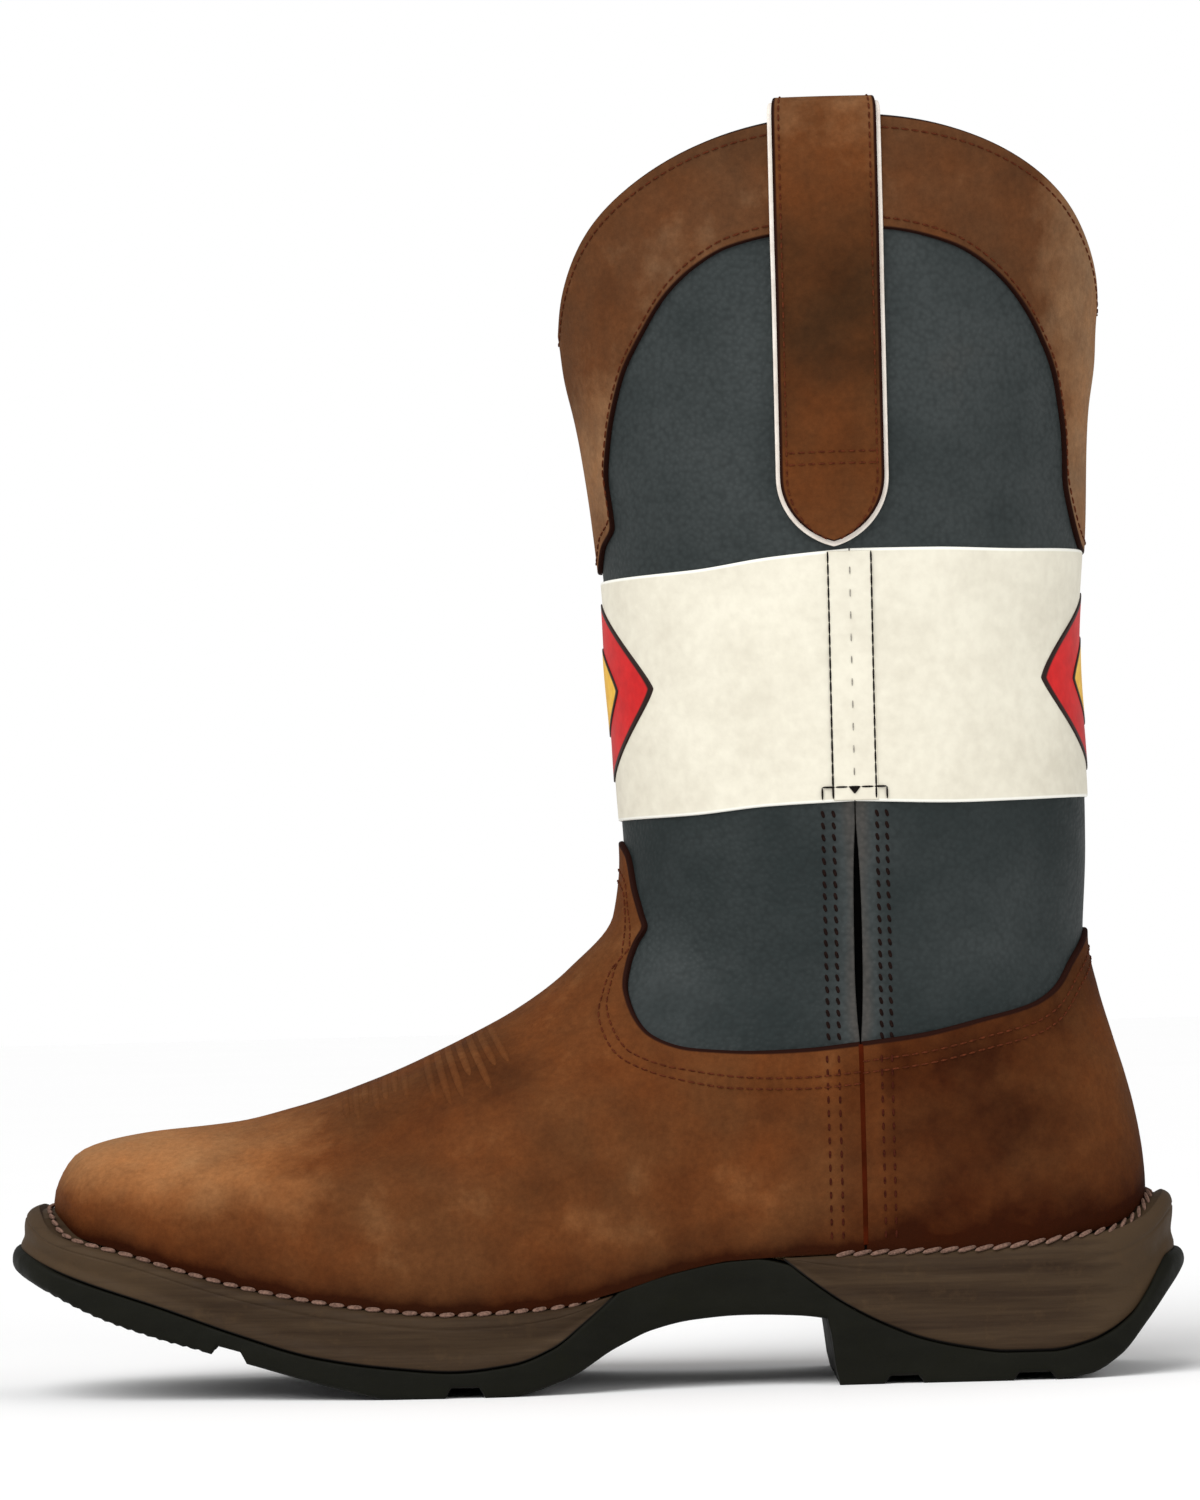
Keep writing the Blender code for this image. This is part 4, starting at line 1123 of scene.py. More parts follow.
def collar_tone(points):
    """Lighter down the back, which is painted sheen, and low on the front, which is else a little dark, as it
    is along the rim.
    """
    x, z = points[..., 0], points[..., 2]
    front = hump(z, *FRONT_LIGHT_Z) - FRONT_DARK
    return hump(x, *BACK_SHEEN_X) + front * hump(x, *FRONT_STRIP_X) + hump(z, *RIM_SHADE_Z)


def rim_line(inset):
    """The collar's ring from seam to seam, an inset below the rim."""
    line = level_line(COLLAR)
    line[:, 1] -= inset / MM_PER_RING
    return line


collars = {}
for name, table, turn, node in (("front_collar_facing", FRONT_COLLAR_LINE, front_turn, "front_collar"),
                                ("back_collar_facing", BACK_COLLAR_LINE, back_turn, "back_collar")):
    collars[name] = Patch(edge_line(table, turn), rim_line(RIM_INSET), turn, COLLAR_COLUMNS, COLLAR_ROWS)
    make_panel(name, collars[name], FOOT_LOW, FOOT_HIGH, SHAFT_BROWN, [node], cut=COLLAR_CUT,
               tone=collar_tone, fit=FOOT_FIT)
print("collar facings:", ", ".join(collars))

# %% [markdown]
# ## Pull straps
# A pull strap runs up the outside of the shaft, turns over the collar and goes down inside. It is two
# leathers: a pale backing that shows as piping along both edges, and a narrower brown facing. Both are
# sheets along one path, whose distance from the wall and rise over the rim are functions of the run from
# the shield-shaped tip. A cloth simulation could fold a strap, but stiff leather keeps this simple bend.

# %% Strap outline
STRAP_WIDTH = 28.0
STRAP_LENGTH, STRAP_INNER = 110.5, 62.0  # lengths of the legs outside and inside
STRAP_TIP = 18.0  # length of the pointed tip
TIP_RADIUS = (STRAP_TIP ** 2 + STRAP_WIDTH ** 2 / 4) / STRAP_WIDTH  # radius of its two arcs
TIP_ROWS, LEG_ROWS, LOOP_ROWS, INNER_ROWS = 26, 62, 22, 30
TIP_OPENING = 0.05  # turn of the tip's first row, which is short and flat


def strap_half(outer, inset):
    """Half width an inset inside the outline, at distances from its tip: two arcs, each touching one of the
    straight sides, meet in a blunt point."""
    left = np.clip(STRAP_TIP - outer, 0.0, None)
    return np.sqrt((TIP_RADIUS - inset) ** 2 - left ** 2) - TIP_RADIUS + STRAP_WIDTH / 2


def strap_rows(inset):
    """Rows of a strap: distances up its outer leg, turns round its loop and distances down its inner leg."""
    tip_length = math.sqrt((TIP_RADIUS - inset) ** 2 - (TIP_RADIUS - STRAP_WIDTH / 2) ** 2)
    tip = STRAP_TIP - tip_length * np.cos(np.linspace(TIP_OPENING, math.pi / 2, TIP_ROWS))
    leg = np.linspace(tip[-1], STRAP_LENGTH, LEG_ROWS)[1:]
    turn = np.linspace(0.0, math.pi, LOOP_ROWS + 1)[1:-1]
    return np.concatenate([tip, leg]), turn, np.linspace(0.0, STRAP_INNER - inset, INNER_ROWS)


print("radius of the tip's arcs: %.1f mm" % TIP_RADIUS)

# %% Strap path
STRAP_X = 64.9
STRAP_SINK = 0.6  # how far the loop sinks onto the rim
STRAP_LEVEL = 30.0  # its top is level; this far down it follows the collar again
STRAP_OUTSIDE, STRAP_INSIDE = 2.4, 2.65  # clearances of the loop's legs outside and inside the wall
STRAP_RESTING = 1.75  # clearance lower down, below the collar facing,
STRAP_SETTLE = (62.0, 84.0)  # and the run over which the strap climbs onto the facing
STRAP_RINGS = np.linspace(COLLAR - 3.0, COLLAR, 121)
UP = np.array([0.0, 0.0, 1.0])


def ring_below_collar(drop):
    """The v a distance down the shaft's side from the collar."""
    height = upper_point(STRAP_RINGS, np.full_like(STRAP_RINGS, math.pi / 2))[:, 2]
    return np.interp(height[-1] - drop, height, STRAP_RINGS)


def strap_drop(rows):
    """Distances of a strap's rows below the collar."""
    outer, turn, inner = rows
    return np.concatenate([STRAP_LENGTH - outer, 0.0 * turn, inner])


def strap_points(rows, across, offset, sign):
    """Points of one face of a strap: the wall, moved out by a reach and up by a lift. On the legs the reach
    is a clearance plus the offset; round the loop reach and lift follow half a circle."""
    outer, turn, _ = rows
    first, last = len(outer), len(outer) + len(turn)
    drop = strap_drop(rows)
    v = ring_below_collar(drop)[:, None] + 0.0 * across
    angle = sign * turn_at(v, STRAP_X + across)
    around = upper_point(v, angle + TURN_STEP) - upper_point(v, angle - TURN_STEP)
    reach, lift = -STRAP_INSIDE - offset, np.zeros_like(offset)
    settle = smooth(*STRAP_SETTLE, outer)[:, None]
    reach[:first] = STRAP_RESTING + (STRAP_OUTSIDE - STRAP_RESTING) * settle + offset[:first]
    bend = offset[first:last] + (STRAP_OUTSIDE + STRAP_INSIDE) / 2
    reach[first:last] = (STRAP_OUTSIDE - STRAP_INSIDE) / 2 + bend * np.cos(turn)[:, None]
    lift[first:last] = bend * np.sin(turn)[:, None] - STRAP_SINK
    rim = upper_point(COLLAR + 0.0 * v, angle)[..., 2]
    lift += (rim.max() - rim) * (1.0 - smooth(0.0, STRAP_LEVEL, drop))[:, None]
    return upper_point(v, angle) + unit(np.cross(around, UP)) * reach[..., None] + UP * lift[..., None]


print("the strap's loop is %.2f mm wide inside" % (STRAP_OUTSIDE + STRAP_INSIDE))

# %% [markdown]
# ## Two layers of each strap
# Backing and facing share the path and differ in width, height and finish, so one function makes both.
# Gluing one thick strap and painting a pale rim on it would lose the small step that catches the light.

# %% Straps
STRAP_THICK, BACKING_THICK = 2.6, 1.3
FACING_INSET, LAYER_GAP = 1.2, 0.03  # the facing is narrower all round, and lies just over the backing
STRAP_COLUMNS = 14
STRAP_EDGE, STRAP_DYE_LESS = 0.5, 0.55  # rounding of the edges, and how much narrower their dye is
LOOP_LIGHT, LEG_SHADE = (0.3, 0.0, 14.0), (-1.0, 50.0, 30.0)  # humps of tone down the strap


def strap_tone(rows):
    """Lighter over the loop, where the leather is stretched, darker down the middle of the leg."""
    drop = strap_drop(rows)
    return hump(drop, *LOOP_LIGHT) + hump(drop, *LEG_SHADE)


def make_strap(name, sign, inset, low, high, finish, replaces=()):
    """A strap layer between two heights over the strap's inner side, an inset inside the strap's outline."""
    rows = outer, turn, inner = strap_rows(inset)
    rest = np.ones(len(turn) + len(inner))
    half_width = STRAP_WIDTH / 2 - inset
    half = np.concatenate([strap_half(outer, inset), half_width * rest])[:, None]
    columns = spread(2 * half_width, STRAP_COLUMNS)[:, 0] / half_width - 1.0
    across, from_side = sign * half * columns, half * (1.0 - np.abs(columns))
    from_tip = np.concatenate([outer - outer[0], EDGE_REACH * rest])
    from_tip[-len(inner):] = inner[::-1]
    near = np.minimum(from_side, from_tip[:, None])
    grids = [strap_points(rows, across, offset, sign) for offset in
             (high - rolled(near, STRAP_EDGE), np.full_like(across, low))]
    values = {"tone": both(strap_tone(rows)[:, None] + 0.0 * across),
              "edge_near": both(np.clip(EDGE_REACH - STRAP_DYE_LESS - from_side, 0.0, None))}
    add_piece(name, grids, shell_faces(*across.shape), finish, replaces, values)
    return grids[0][:len(outer) + len(turn)]


strap_faces = {}
for side, sign in SIDES.items():
    make_strap(side + "_strap_backing", sign, 0.0, 0.0, BACKING_THICK, PIPING, [side + "_pull_strap"])
    strap_faces[side] = make_strap(side + "_strap_facing", sign, FACING_INSET, BACKING_THICK + LAYER_GAP,
                                   STRAP_THICK, STRAP_BROWN)
    print(side, "strap tops out at z = %.1f mm" % strap_faces[side][..., 2].max())

# %% [markdown]
# ## Stitches
# A stitch is a short length of thread that dives into the leather at both ends: a bead, long and low. One
# bead of 36 points is set along a line by broadcasting: along the line, across it, and outwards. Instances
# of one stitch would be lighter, but would have to be realized for the export.

# %% Stitch maker
BEAD_STEPS = np.array([-1.0, -0.82, -0.4, 0.4, 0.82, 1.0])
BEAD_ROUND = np.array([0.15, 0.72, 1.0, 1.0, 0.72, 0.15])
BEAD_SIDES = 6
STITCH_STEP = 0.4  # small step along a line that gives its direction


def bead_faces():
    """Faces of one bead: a tube of six sides with two faces over each end."""
    ends = np.array([[0, 3, 2, 1], [0, 5, 4, 3]])
    last = len(BEAD_STEPS) * BEAD_SIDES - BEAD_SIDES
    return np.concatenate([grid_quads(len(BEAD_STEPS), BEAD_SIDES, wrap=True), ends, ends[:, ::-1] + last])


def make_stitches(name, lines, size, finish, slant=0.0):
    """Beads along lines of (points, outward ways): centre + along * u * length / 2 + across * cos * width / 2
    + outward * sin * height / 2. size is the pitch, and the length, width and height of the thread."""
    pitch, length, width, height = size
    around = full_turn(BEAD_SIDES)
    made = []
    for points, outward in lines:
        run = run_along(points)
        at = (np.arange(int(run[-1] / pitch)) + 0.5) * run[-1] / int(run[-1] / pitch)
        centre, out = place_along(points, run, at), unit(place_along(outward, run, at))
        along = unit(place_along(points, run, at + STITCH_STEP) - place_along(points, run, at - STITCH_STEP))
        across = unit(np.cross(out, along))
        along = unit(along + slant * across)
        across = np.cross(out, along)
        u, r = BEAD_STEPS[:, None], BEAD_ROUND[:, None]
        parts = (u * length / 2 + 0 * around, r * np.cos(around) * width / 2, r * np.sin(around) * height / 2)
        ways = (along, across, out)
        bead = sum(way[:, None, None] * part[None, ..., None] for way, part in zip(ways, parts))
        made.append(bead + centre[:, None, None])
    beads = np.concatenate(made).reshape(-1, len(BEAD_STEPS) * BEAD_SIDES, 3)
    faces = bead_faces() + (np.arange(len(beads)) * beads.shape[1])[:, None, None]
    add_piece(name, beads, faces.reshape(-1, 4), finish)
    return len(beads)


print(len(BEAD_STEPS) * BEAD_SIDES, "points to a stitch")

# %% [markdown]
# ## Rows along the panels
# Double rows follow the edges of vamp and counter, and single rows both edges of the collar facings. A
# patch knows the distance from its upper line everywhere, so a row is simply a line of equal distance.

# %% Stitches of the panels
SINK = 0.12  # how far a thread's middle lies over the leather
VAMP_INSETS, COUNTER_INSETS = (7.6, 10.6), (5.0, 8.0)  # double rows from the panels' edges
RIM_ROW, LOW_ROW = 3.2, 2.8  # the collar's rows from its rim and its lower edge
PANEL_STITCH, COLLAR_STITCH = (2.5, 1.9, 0.5, 0.5), (2.6, 2.0, 0.5, 0.5)
STITCHED = [
    ("vamp_stitches", vamp_patch, VAMP_INSETS, PANEL_STITCH),
    ("counter_stitches", counter_patch, COUNTER_INSETS, PANEL_STITCH),
]
for name, patch in collars.items():
    STITCHED.append((name + "_stitches", patch, (RIM_ROW, patch.run[-1:] - LOW_ROW), COLLAR_STITCH))
count = 0
for name, patch, insets, size in STITCHED:
    rows = [patch.stitch_line(inset, FOOT_HIGH + SINK) for inset in insets]
    count += make_stitches(name, rows, size, RUST_THREAD)
print(count, "stitches along the panels' edges")

# %% [markdown]
# ## Rows along the side seams
# Upright rows run beside each seam from the sole to the strap, in a thread to suit each leather, and a
# small stitched box and a tack close the band's lower edge. They are drawn in side view and carried onto
# the face.

# %% Rows beside a seam
BOX_HALF, BOX_LOW, BOX_HIGH = 8.1, 149.7, 152.9  # stitched box across the seam at the band's lower edge
SEAM_POINTS, BOX_POINTS = 60, 30


def seam_rows(steps, heights, sign, offset):
    """Upright rows at distances beside the seam, between two heights."""
    z = np.linspace(*heights, SEAM_POINTS)
    return [side_skin(SEAM_X + step, z, sign, offset) for step in steps]


def box_rows(sign, offset):
    """The top and the two sides of the stitched box."""
    x = np.linspace(SEAM_X - BOX_HALF, SEAM_X + BOX_HALF, BOX_POINTS)
    top = side_skin(x, np.full_like(x, BOX_HIGH), sign, offset)
    return [top] + seam_rows((-BOX_HALF, BOX_HALF), (BOX_LOW, BOX_HIGH), sign, offset)


print("the stitched box is %.1f mm wide" % (2 * BOX_HALF))

# %% Stitches of the side seams
SEAM_STITCHES = (
    # end of the name, distances beside the seam, heights, offset,
    # pitch, length, width and height of the thread, its finish, slot and slant
    ("_foot_seam_stitches", (-8.8, -5.8, 5.2, 7.9), (36.5, 85.0), FOOT_HIGH + SINK,
     (3.4, 1.9, 0.6, 0.4), MAROON_THREAD, "brown_leather", 0.0),
    ("_quarter_stitches", (-8.2, -5.5, 5.5, 8.0), (87.5, 147.5), PANEL_LIFT + SINK,
     (2.9, 1.9, 0.85, 0.45), DARK_THREAD, "brown_leather", 0.3),
    ("_band_stitches", (-5.4, 5.4), (150.0, 213.0), STRIP_HIGH,
     (3.0, 3.2, 0.5, 0.5), BLACK_THREAD, "slate_leather", 0.0),
    ("_band_middle_stitches", (0.0,), (154.0, 211.0), STRIP_HIGH + SINK,
     (5.2, 2.0, 0.35, 0.3), GREY_THREAD, "slate_leather", 0.0),
)
BOX_LIFT = 0.4  # the box, sewn with the band's rows, lies over both band and strip
# Strips as before: x of the middle, half widths, and z of foot and head.
TACK, TACK_THICK, TACK_ROLL = ((SEAM_X, SEAM_X), (0.15, 1.3), (151.2, 152.7)), 0.3, 0.15
FOOT_SEAM, SEAM_PROUD = ((SEAM_X, SEAM_X), (0.7, 0.7), (35.5, 87.0)), 0.12
count = 0
for side, sign in SIDES.items():
    for end, steps, heights, offset, size, finish, slot, slant in SEAM_STITCHES:
        rows = seam_rows(steps, heights, sign, offset)
        if end == "_band_stitches":
            rows += box_rows(sign, BAND_HIGH + BOX_LIFT)
        count += make_stitches(side + end, rows, size, finish, slant)
    side_strip(side + "_band_tack", TACK, sign, STRIP_HIGH, STRIP_HIGH + TACK_THICK, BLACK_THREAD,
               TACK_ROLL)
    side_strip(side + "_foot_seam", FOOT_SEAM, sign, FOOT_LOW, FOOT_HIGH + SEAM_PROUD, SEAM_RED)
print(count, "stitches beside the seams")

# %% [markdown]
# ## Rows on the straps
# One row runs near each edge of a facing, up the leg and over the loop, and a double row crosses it above
# the tip, where the strap is sewn to the shaft. The rows are columns and rows of the facing's own grid.

# %% Stitches of the straps
STRAP_STITCH = (2.5, 1.8, 0.5, 0.4)
EDGE_COLUMN = 6  # column of the facing, counted from its edges, that its stitches follow
BARE_ROWS = 3  # rows at the tip without stitches
CROSS_ROWS = (235.4, 237.6)  # heights of the double row above the tip


def strap_lines(face):
    """Rows up the outer leg and over the loop near both edges, and the double row across."""
    outward = unit(np.cross(np.gradient(face, axis=1), np.gradient(face, axis=0)))
    raised = face + outward * SINK
    lines = [(raised[BARE_ROWS:, c], outward[BARE_ROWS:, c]) for c in (EDGE_COLUMN, -1 - EDGE_COLUMN)]
    height = face[:TIP_ROWS + LEG_ROWS - 1, face.shape[1] // 2, 2]
    inside = slice(EDGE_COLUMN, -EDGE_COLUMN)
    for z in CROSS_ROWS:
        row = int(np.argmin(np.abs(height - z)))
        lines.append((raised[row, inside], outward[row, inside]))
    return lines


count = sum(make_stitches(side + "_strap_stitches", strap_lines(face), STRAP_STITCH, RUST_THREAD)
            for side, face in strap_faces.items())
print(count, "stitches on the straps")

# %% [markdown]
# ## Ribs over the vamp
# Across the crest of the vamp lie two groups of fine corded ribs, thread laid over the leather and sewn
# down. Each rib is a low half-round carried across the crest, square to it, and tapering to nothing at both
# ends. A bump pattern would be cheaper, but real ribs also catch the light at a low angle.

# %% Paths of the ribs
RIB_TRIES = np.linspace(-3.0, 0.5, 141)  # rings tried on either side of a rib's own ring


def rib_rings(rings, angle):
    """For ribs that start on some rings of the crest: the v at each angle for which the point lies in the
    plane square to the crest there, interpolated between tries."""
    start = upper_point(rings, 0.0 * rings)
    along = unit(upper_point(rings + RING_STEP, 0.0 * rings) - upper_point(rings - RING_STEP, 0.0 * rings))
    tries = rings[:, None] + RIB_TRIES
    grid = upper_point(tries[:, None], angle[..., None])
    ahead = ((grid - start[:, None, None]) * along[:, None, None]).sum(axis=-1)
    cell = np.clip((ahead < 0).sum(axis=-1), 1, len(RIB_TRIES) - 1)[..., None]
    high, low = np.take_along_axis(ahead, cell, -1), np.take_along_axis(ahead, cell - 1, -1)
    step = tries[0, 1] - tries[0, 0]
    return np.take_along_axis(tries, cell[..., 0] - 1, -1) - step * (low / (high - low))[..., 0]


print("each rib is placed among", len(RIB_TRIES), "rings")

# %% Vamp ribs
RIB_GROUPS = ((-64.0, -48.5, 7, 0.5), (-42.5, -26.0, 7, 0.72))  # x of first and last, number, half turn
RIB_UNEVEN, RIB_BEAT = 0.12, 2.4  # how uneven their lengths are, and how soon that changes
RIB_HALF, RIB_HEIGHT, RIB_SINK = 1.05, 1.2, 0.12
RIB_CREST, RIB_CREST_REACH = 0.8, 0.4  # share of the height that is lost on the crest, and how far out
RIB_BLUNT, RIB_END = 14, 0.02  # how blunt their ends are, and what is left there
RIB_TONE = -0.12
RIB_POINTS, RIB_SIDES = 60, 8
CREST_RINGS = np.linspace(2.0, 8.0, 601)  # rings of the crest from the toe to the instep


def make_ribs():
    """Ribs along rib_rings: a flat ellipse carried along each path, lowest on the crest and at both ends."""
    crest_x = np.concatenate([np.linspace(a, b, n) for a, b, n, _ in RIB_GROUPS])
    reach = np.concatenate([np.full(n, turn) for _, _, n, turn in RIB_GROUPS])
    reach *= 1.0 + RIB_UNEVEN * np.sin(np.arange(len(reach)) * RIB_BEAT)
    rings = np.interp(crest_x, ring_values(CREST_RINGS)["front_x"], CREST_RINGS)
    share = np.linspace(-1.0, 1.0, RIB_POINTS)
    angle = reach[:, None] * share
    path, outward = skin(rib_rings(rings, angle), angle, FOOT_HIGH - RIB_SINK)
    across = np.cross(outward, unit(np.gradient(path, axis=1)))
    taper = np.sqrt(np.clip(1.0 - share ** RIB_BLUNT, RIB_END, 1.0))
    height = taper * (1.0 - RIB_CREST * bell(share, RIB_CREST_REACH)) * RIB_HEIGHT / 2
    turn = full_turn(RIB_SIDES)
    wide, high = (taper * RIB_HALF)[:, None] * np.cos(turn), height[:, None] * np.sin(turn)
    points = path[:, :, None] + across[:, :, None] * wide[..., None] + outward[:, :, None] * high[..., None]
    faces = grid_quads(RIB_POINTS, RIB_SIDES, wrap=True)
    ends = np.array([[3, 2, 1, 0], [4, 3, 0, 7], [5, 4, 7, 6]])
    faces = np.concatenate([faces, ends, ends[:, ::-1] + (RIB_POINTS - 1) * RIB_SIDES])
    faces = faces + (np.arange(len(rings)) * RIB_POINTS * RIB_SIDES)[:, None, None]
    tone = np.full(points.shape[:3], RIB_TONE)
    add_piece("vamp_ribs", points, faces.reshape(-1, 4), BROWN, values={"tone": tone})
    return len(rings)


print(make_ribs(), "ribs over the vamp")

# %% [markdown]
# ## Inlays on the band
# At the front and the back centre of the cream band sits a plain red lozenge with a gold centre. A lozenge
# is a square grid turned by an eighth and swelled until its rim follows |u|^p + |w|^p = 1 with p a little
# over 1, and is laid on the band by arc and height. A flat outline would not bend round the shaft.

# %% Lozenge inlays
LOZENGE_HALF_TURN, LOZENGE_HALF_HEIGHT, LOZENGE_POWER = 0.62, 23.5, 1.25
LOZENGE_HEIGHT = 180.0  # z of its middle
LOZENGE_INNER, LOZENGE_ROLL = 30, 0.3
BAND_RINGS, BESIDE = np.linspace(8.5, 13.0, 181), 0.3  # rings about the band, read this far off the centre
INLAYS = (
    # end of name        scale  low   high over the band
    ("_lozenge",         1.0,   0.02, 0.42, RED),
    ("_lozenge_centre",  0.5,   0.44, 0.74, GOLD),
)


def lozenge(name, centre_turn, scale, low, high, finish):
    """A closed lozenge: u and w are half the sum and half the difference of two shares, times the ratio of
    the norms |u| + |w| and (|u|^p + |w|^p)^(1/p)."""
    half = scale * LOZENGE_HALF_HEIGHT
    share = spread(2 * half, LOZENGE_INNER)[:, 0] / half - 1.0
    first, second = np.meshgrid(share, share, indexing="ij")
    u, w = (first + second) / 2, (first - second) / 2
    square = np.abs(u) + np.abs(w)
    powers = np.abs(u) ** LOZENGE_POWER + np.abs(w) ** LOZENGE_POWER
    swell = np.maximum(square, TINY) / np.maximum(powers, TINY) ** (1 / LOZENGE_POWER)
    heights = upper_point(BAND_RINGS, np.full_like(BAND_RINGS, centre_turn + BESIDE))[:, 2]
    v = np.interp(LOZENGE_HEIGHT + half * swell * w, heights, BAND_RINGS)
    angle = centre_turn + scale * LOZENGE_HALF_TURN * swell * u
    from_rim = (1.0 - square) * half / math.sqrt(2)
    grids = [skin(v, angle, high - rolled(from_rim, LOZENGE_ROLL))[0], skin(v, angle, low)[0]]
    values = {"edge_near": both(np.clip(EDGE_REACH - from_rim, 0.0, None))}
    return add_piece(name, grids, shell_faces(*v.shape), finish, values=values)


for place, centre_turn in (("front", 0.0), ("back", math.pi)):
    for end, scale, low, high, finish in INLAYS:
        lozenge(place + end, centre_turn, scale, BAND_HIGH + low, BAND_HIGH + high, finish)
print("inlays at the front and the back")

# %% [markdown]
# ## Sole
# The sole is moulded rubber in two colours: a black tread that carries the boot, and taupe sidewalls under
# the forefoot and the heel that thin to a point at the waist. Its plan is the foot's plan plus a margin,
# rounded at both tips. Sections across the boot, at even steps along that outline, make the solid pieces; a
# profile carried along the outline makes the sidewalls.

# %% Side lines of the sole
TREAD_LINE = (  # x, z where the sidewalls meet the tread
    (-153.0, 39.6), (-138.8, 33.2), (-113.0, 24.1), (-92.7, 16.7), (-72.7, 10.6), (-52.7, 7.6), (-37.5, 6.4),
    (-22.3, 7.9), (-12.1, 11.6), (-4.0, 17.6), (4.4, 24.8), (14.0, 36.0), (37.0, 40.0), (46.4, 32.9),
    (54.7, 26.3), (63.0, 20.4), (73.3, 14.9), (83.6, 10.9), (94.0, 8.6), (104.5, 7.3), (115.0, 7.3),
    (125.5, 9.3), (131.4, 11.8), (137.5, 16.0), (142.4, 21.8), (146.8, 27.8), (149.0, 30.4), (153.0, 31.6),
)
GROUND_LINE = (  # x, z of the underside, with the flat spots that carry the boot
    (-153.0, 33.0), (-142.0, 27.8), (-128.0, 21.4), (-113.0, 16.0), (-100.0, 12.2), (-90.0, 9.4),
    (-68.0, 3.2), (-52.0, 0.0), (-24.0, 0.0), (-7.3, 4.4), (4.1, 11.0), (13.7, 15.4), (24.2, 17.6),
    (36.8, 18.4), (48.3, 18.1), (58.2, 17.0), (61.0, 0.0), (112.0, 0.0), (125.0, 1.0), (133.7, 5.2),
    (141.3, 13.0), (147.8, 20.4), (153.0, 26.0),
)
HEEL_BREAST = slice(14, 18)  # rows of the ground line at the front of the heel
WAIST_FRONT, WAIST_BACK = (-8.0, 8.0), (40.0, 56.0)
print("side lines of", len(TREAD_LINE), "and", len(GROUND_LINE), "points")

# %% Plan of the sole
TOE_ROUND, HEEL_ROUND = RINGS[0][6:8]
MARGINS = {
    # how far each layer stands out past the upper at the toe, the sides, the heel and the waist
    "midsole": (10.8, 5.0, 9.5, 1.2),
    "outsole": (12.8, 5.8, 11.8, 2.6),
    "insole": (-3.3, -3.3, -3.3, -3.3),
}
OUTLINE_SAMPLES = 4001
TIP_START = 0.5  # outlines start this far from their tips, as short flat ends


def waist(x):
    """1 in the waist of the sole, 0 under the forefoot and the heel."""
    return smooth(*WAIST_FRONT, x) * (1.0 - smooth(*WAIST_BACK, x))


def plan_ends(layer):
    """The x of a layer's tips at toe and heel."""
    return TOE_X - MARGINS[layer][0], HEEL_X + MARGINS[layer][2]


def plan_half(layer, x):
    """Half width of a layer: the foot's plan plus its margin, rounded at the tips."""
    toe, side, heel, narrow = MARGINS[layer]
    toe_x, heel_x = plan_ends(layer)
    margin = side + (narrow - side) * waist(x)
    half = through(FOOT_PLAN, x) + margin
    half = half * rounding((x - toe_x) / (TOE_ROUND + toe / 2), TOE_SQUARENESS)
    return half * rounding((heel_x - x) / (HEEL_ROUND + heel / 2), HEEL_SQUARENESS)


def plan_side(layer, start, end, step, extra=()):
    """One side of an outline at even steps along it: x and half width, and the way outwards in plan, which is
    the direction along the outline turned by a quarter."""
    toe_x, heel_x = plan_ends(layer)
    x = toe_x + (heel_x - toe_x) * (1.0 - np.cos(np.linspace(0.0, math.pi, OUTLINE_SAMPLES))) / 2
    line = np.stack([x, plan_half(layer, x)], axis=-1)
    run = run_along(line)
    first, last = np.interp((max(start, toe_x), min(end, heel_x)), x, run)
    first, last = max(first, TIP_START), min(last, run[-1] - TIP_START)
    at = np.linspace(first, last, int((last - first) / step))
    at = np.unique(np.concatenate([at, np.interp(extra, x, run)]))
    along = np.gradient(line, axis=0)
    outward = unit(np.stack([-along[:, 1], along[:, 0]], axis=-1))
    return place_along(line, run, at), unit(place_along(outward, run, at))


print("sole from x = %.1f to %.1f mm" % plan_ends("outsole"))

# %% [markdown]
# ## Solid layers
# Tread and footbed are thick layers with rounded edges. Sections across the boot are lofted from toe to
# heel, and each section carries its own corners, which a Bevel modifier would smear where a groove meets
# the side.

# %% Solid pieces of the sole
SLAB_SHARE, TIP_SHARE = 0.3, 0.15  # most of its height that a rounded edge may take, and more at a tip
TIP_EDGE, TIP_TALL = 1.0, 0.45  # how much rounder edges are at a tip, and how much taller upper ones
TIP_TURN = 1.4  # how soon an outline that turns counts as a tip
UPPER_EDGE, UPPER_TIP = 1.0 / 3, 0.5  # share of the lower edges' radius for upper ones, and more at a tip
CORNER = np.linspace(0.0, math.pi / 2, 6)


def loft_faces(points):
    """Faces of a loft of closed sections: a tube, and over each end a ladder between its loop's halves."""
    rows, around = points.shape[:2]
    step = np.arange(around // 2 - 1)
    ladder = np.stack([step, step + 1, around - 2 - step, around - 1 - step], axis=-1)
    tube = grid_quads(rows, around, wrap=True)
    return np.concatenate([tube, ladder[:, ::-1], ladder + (rows - 1) * around])


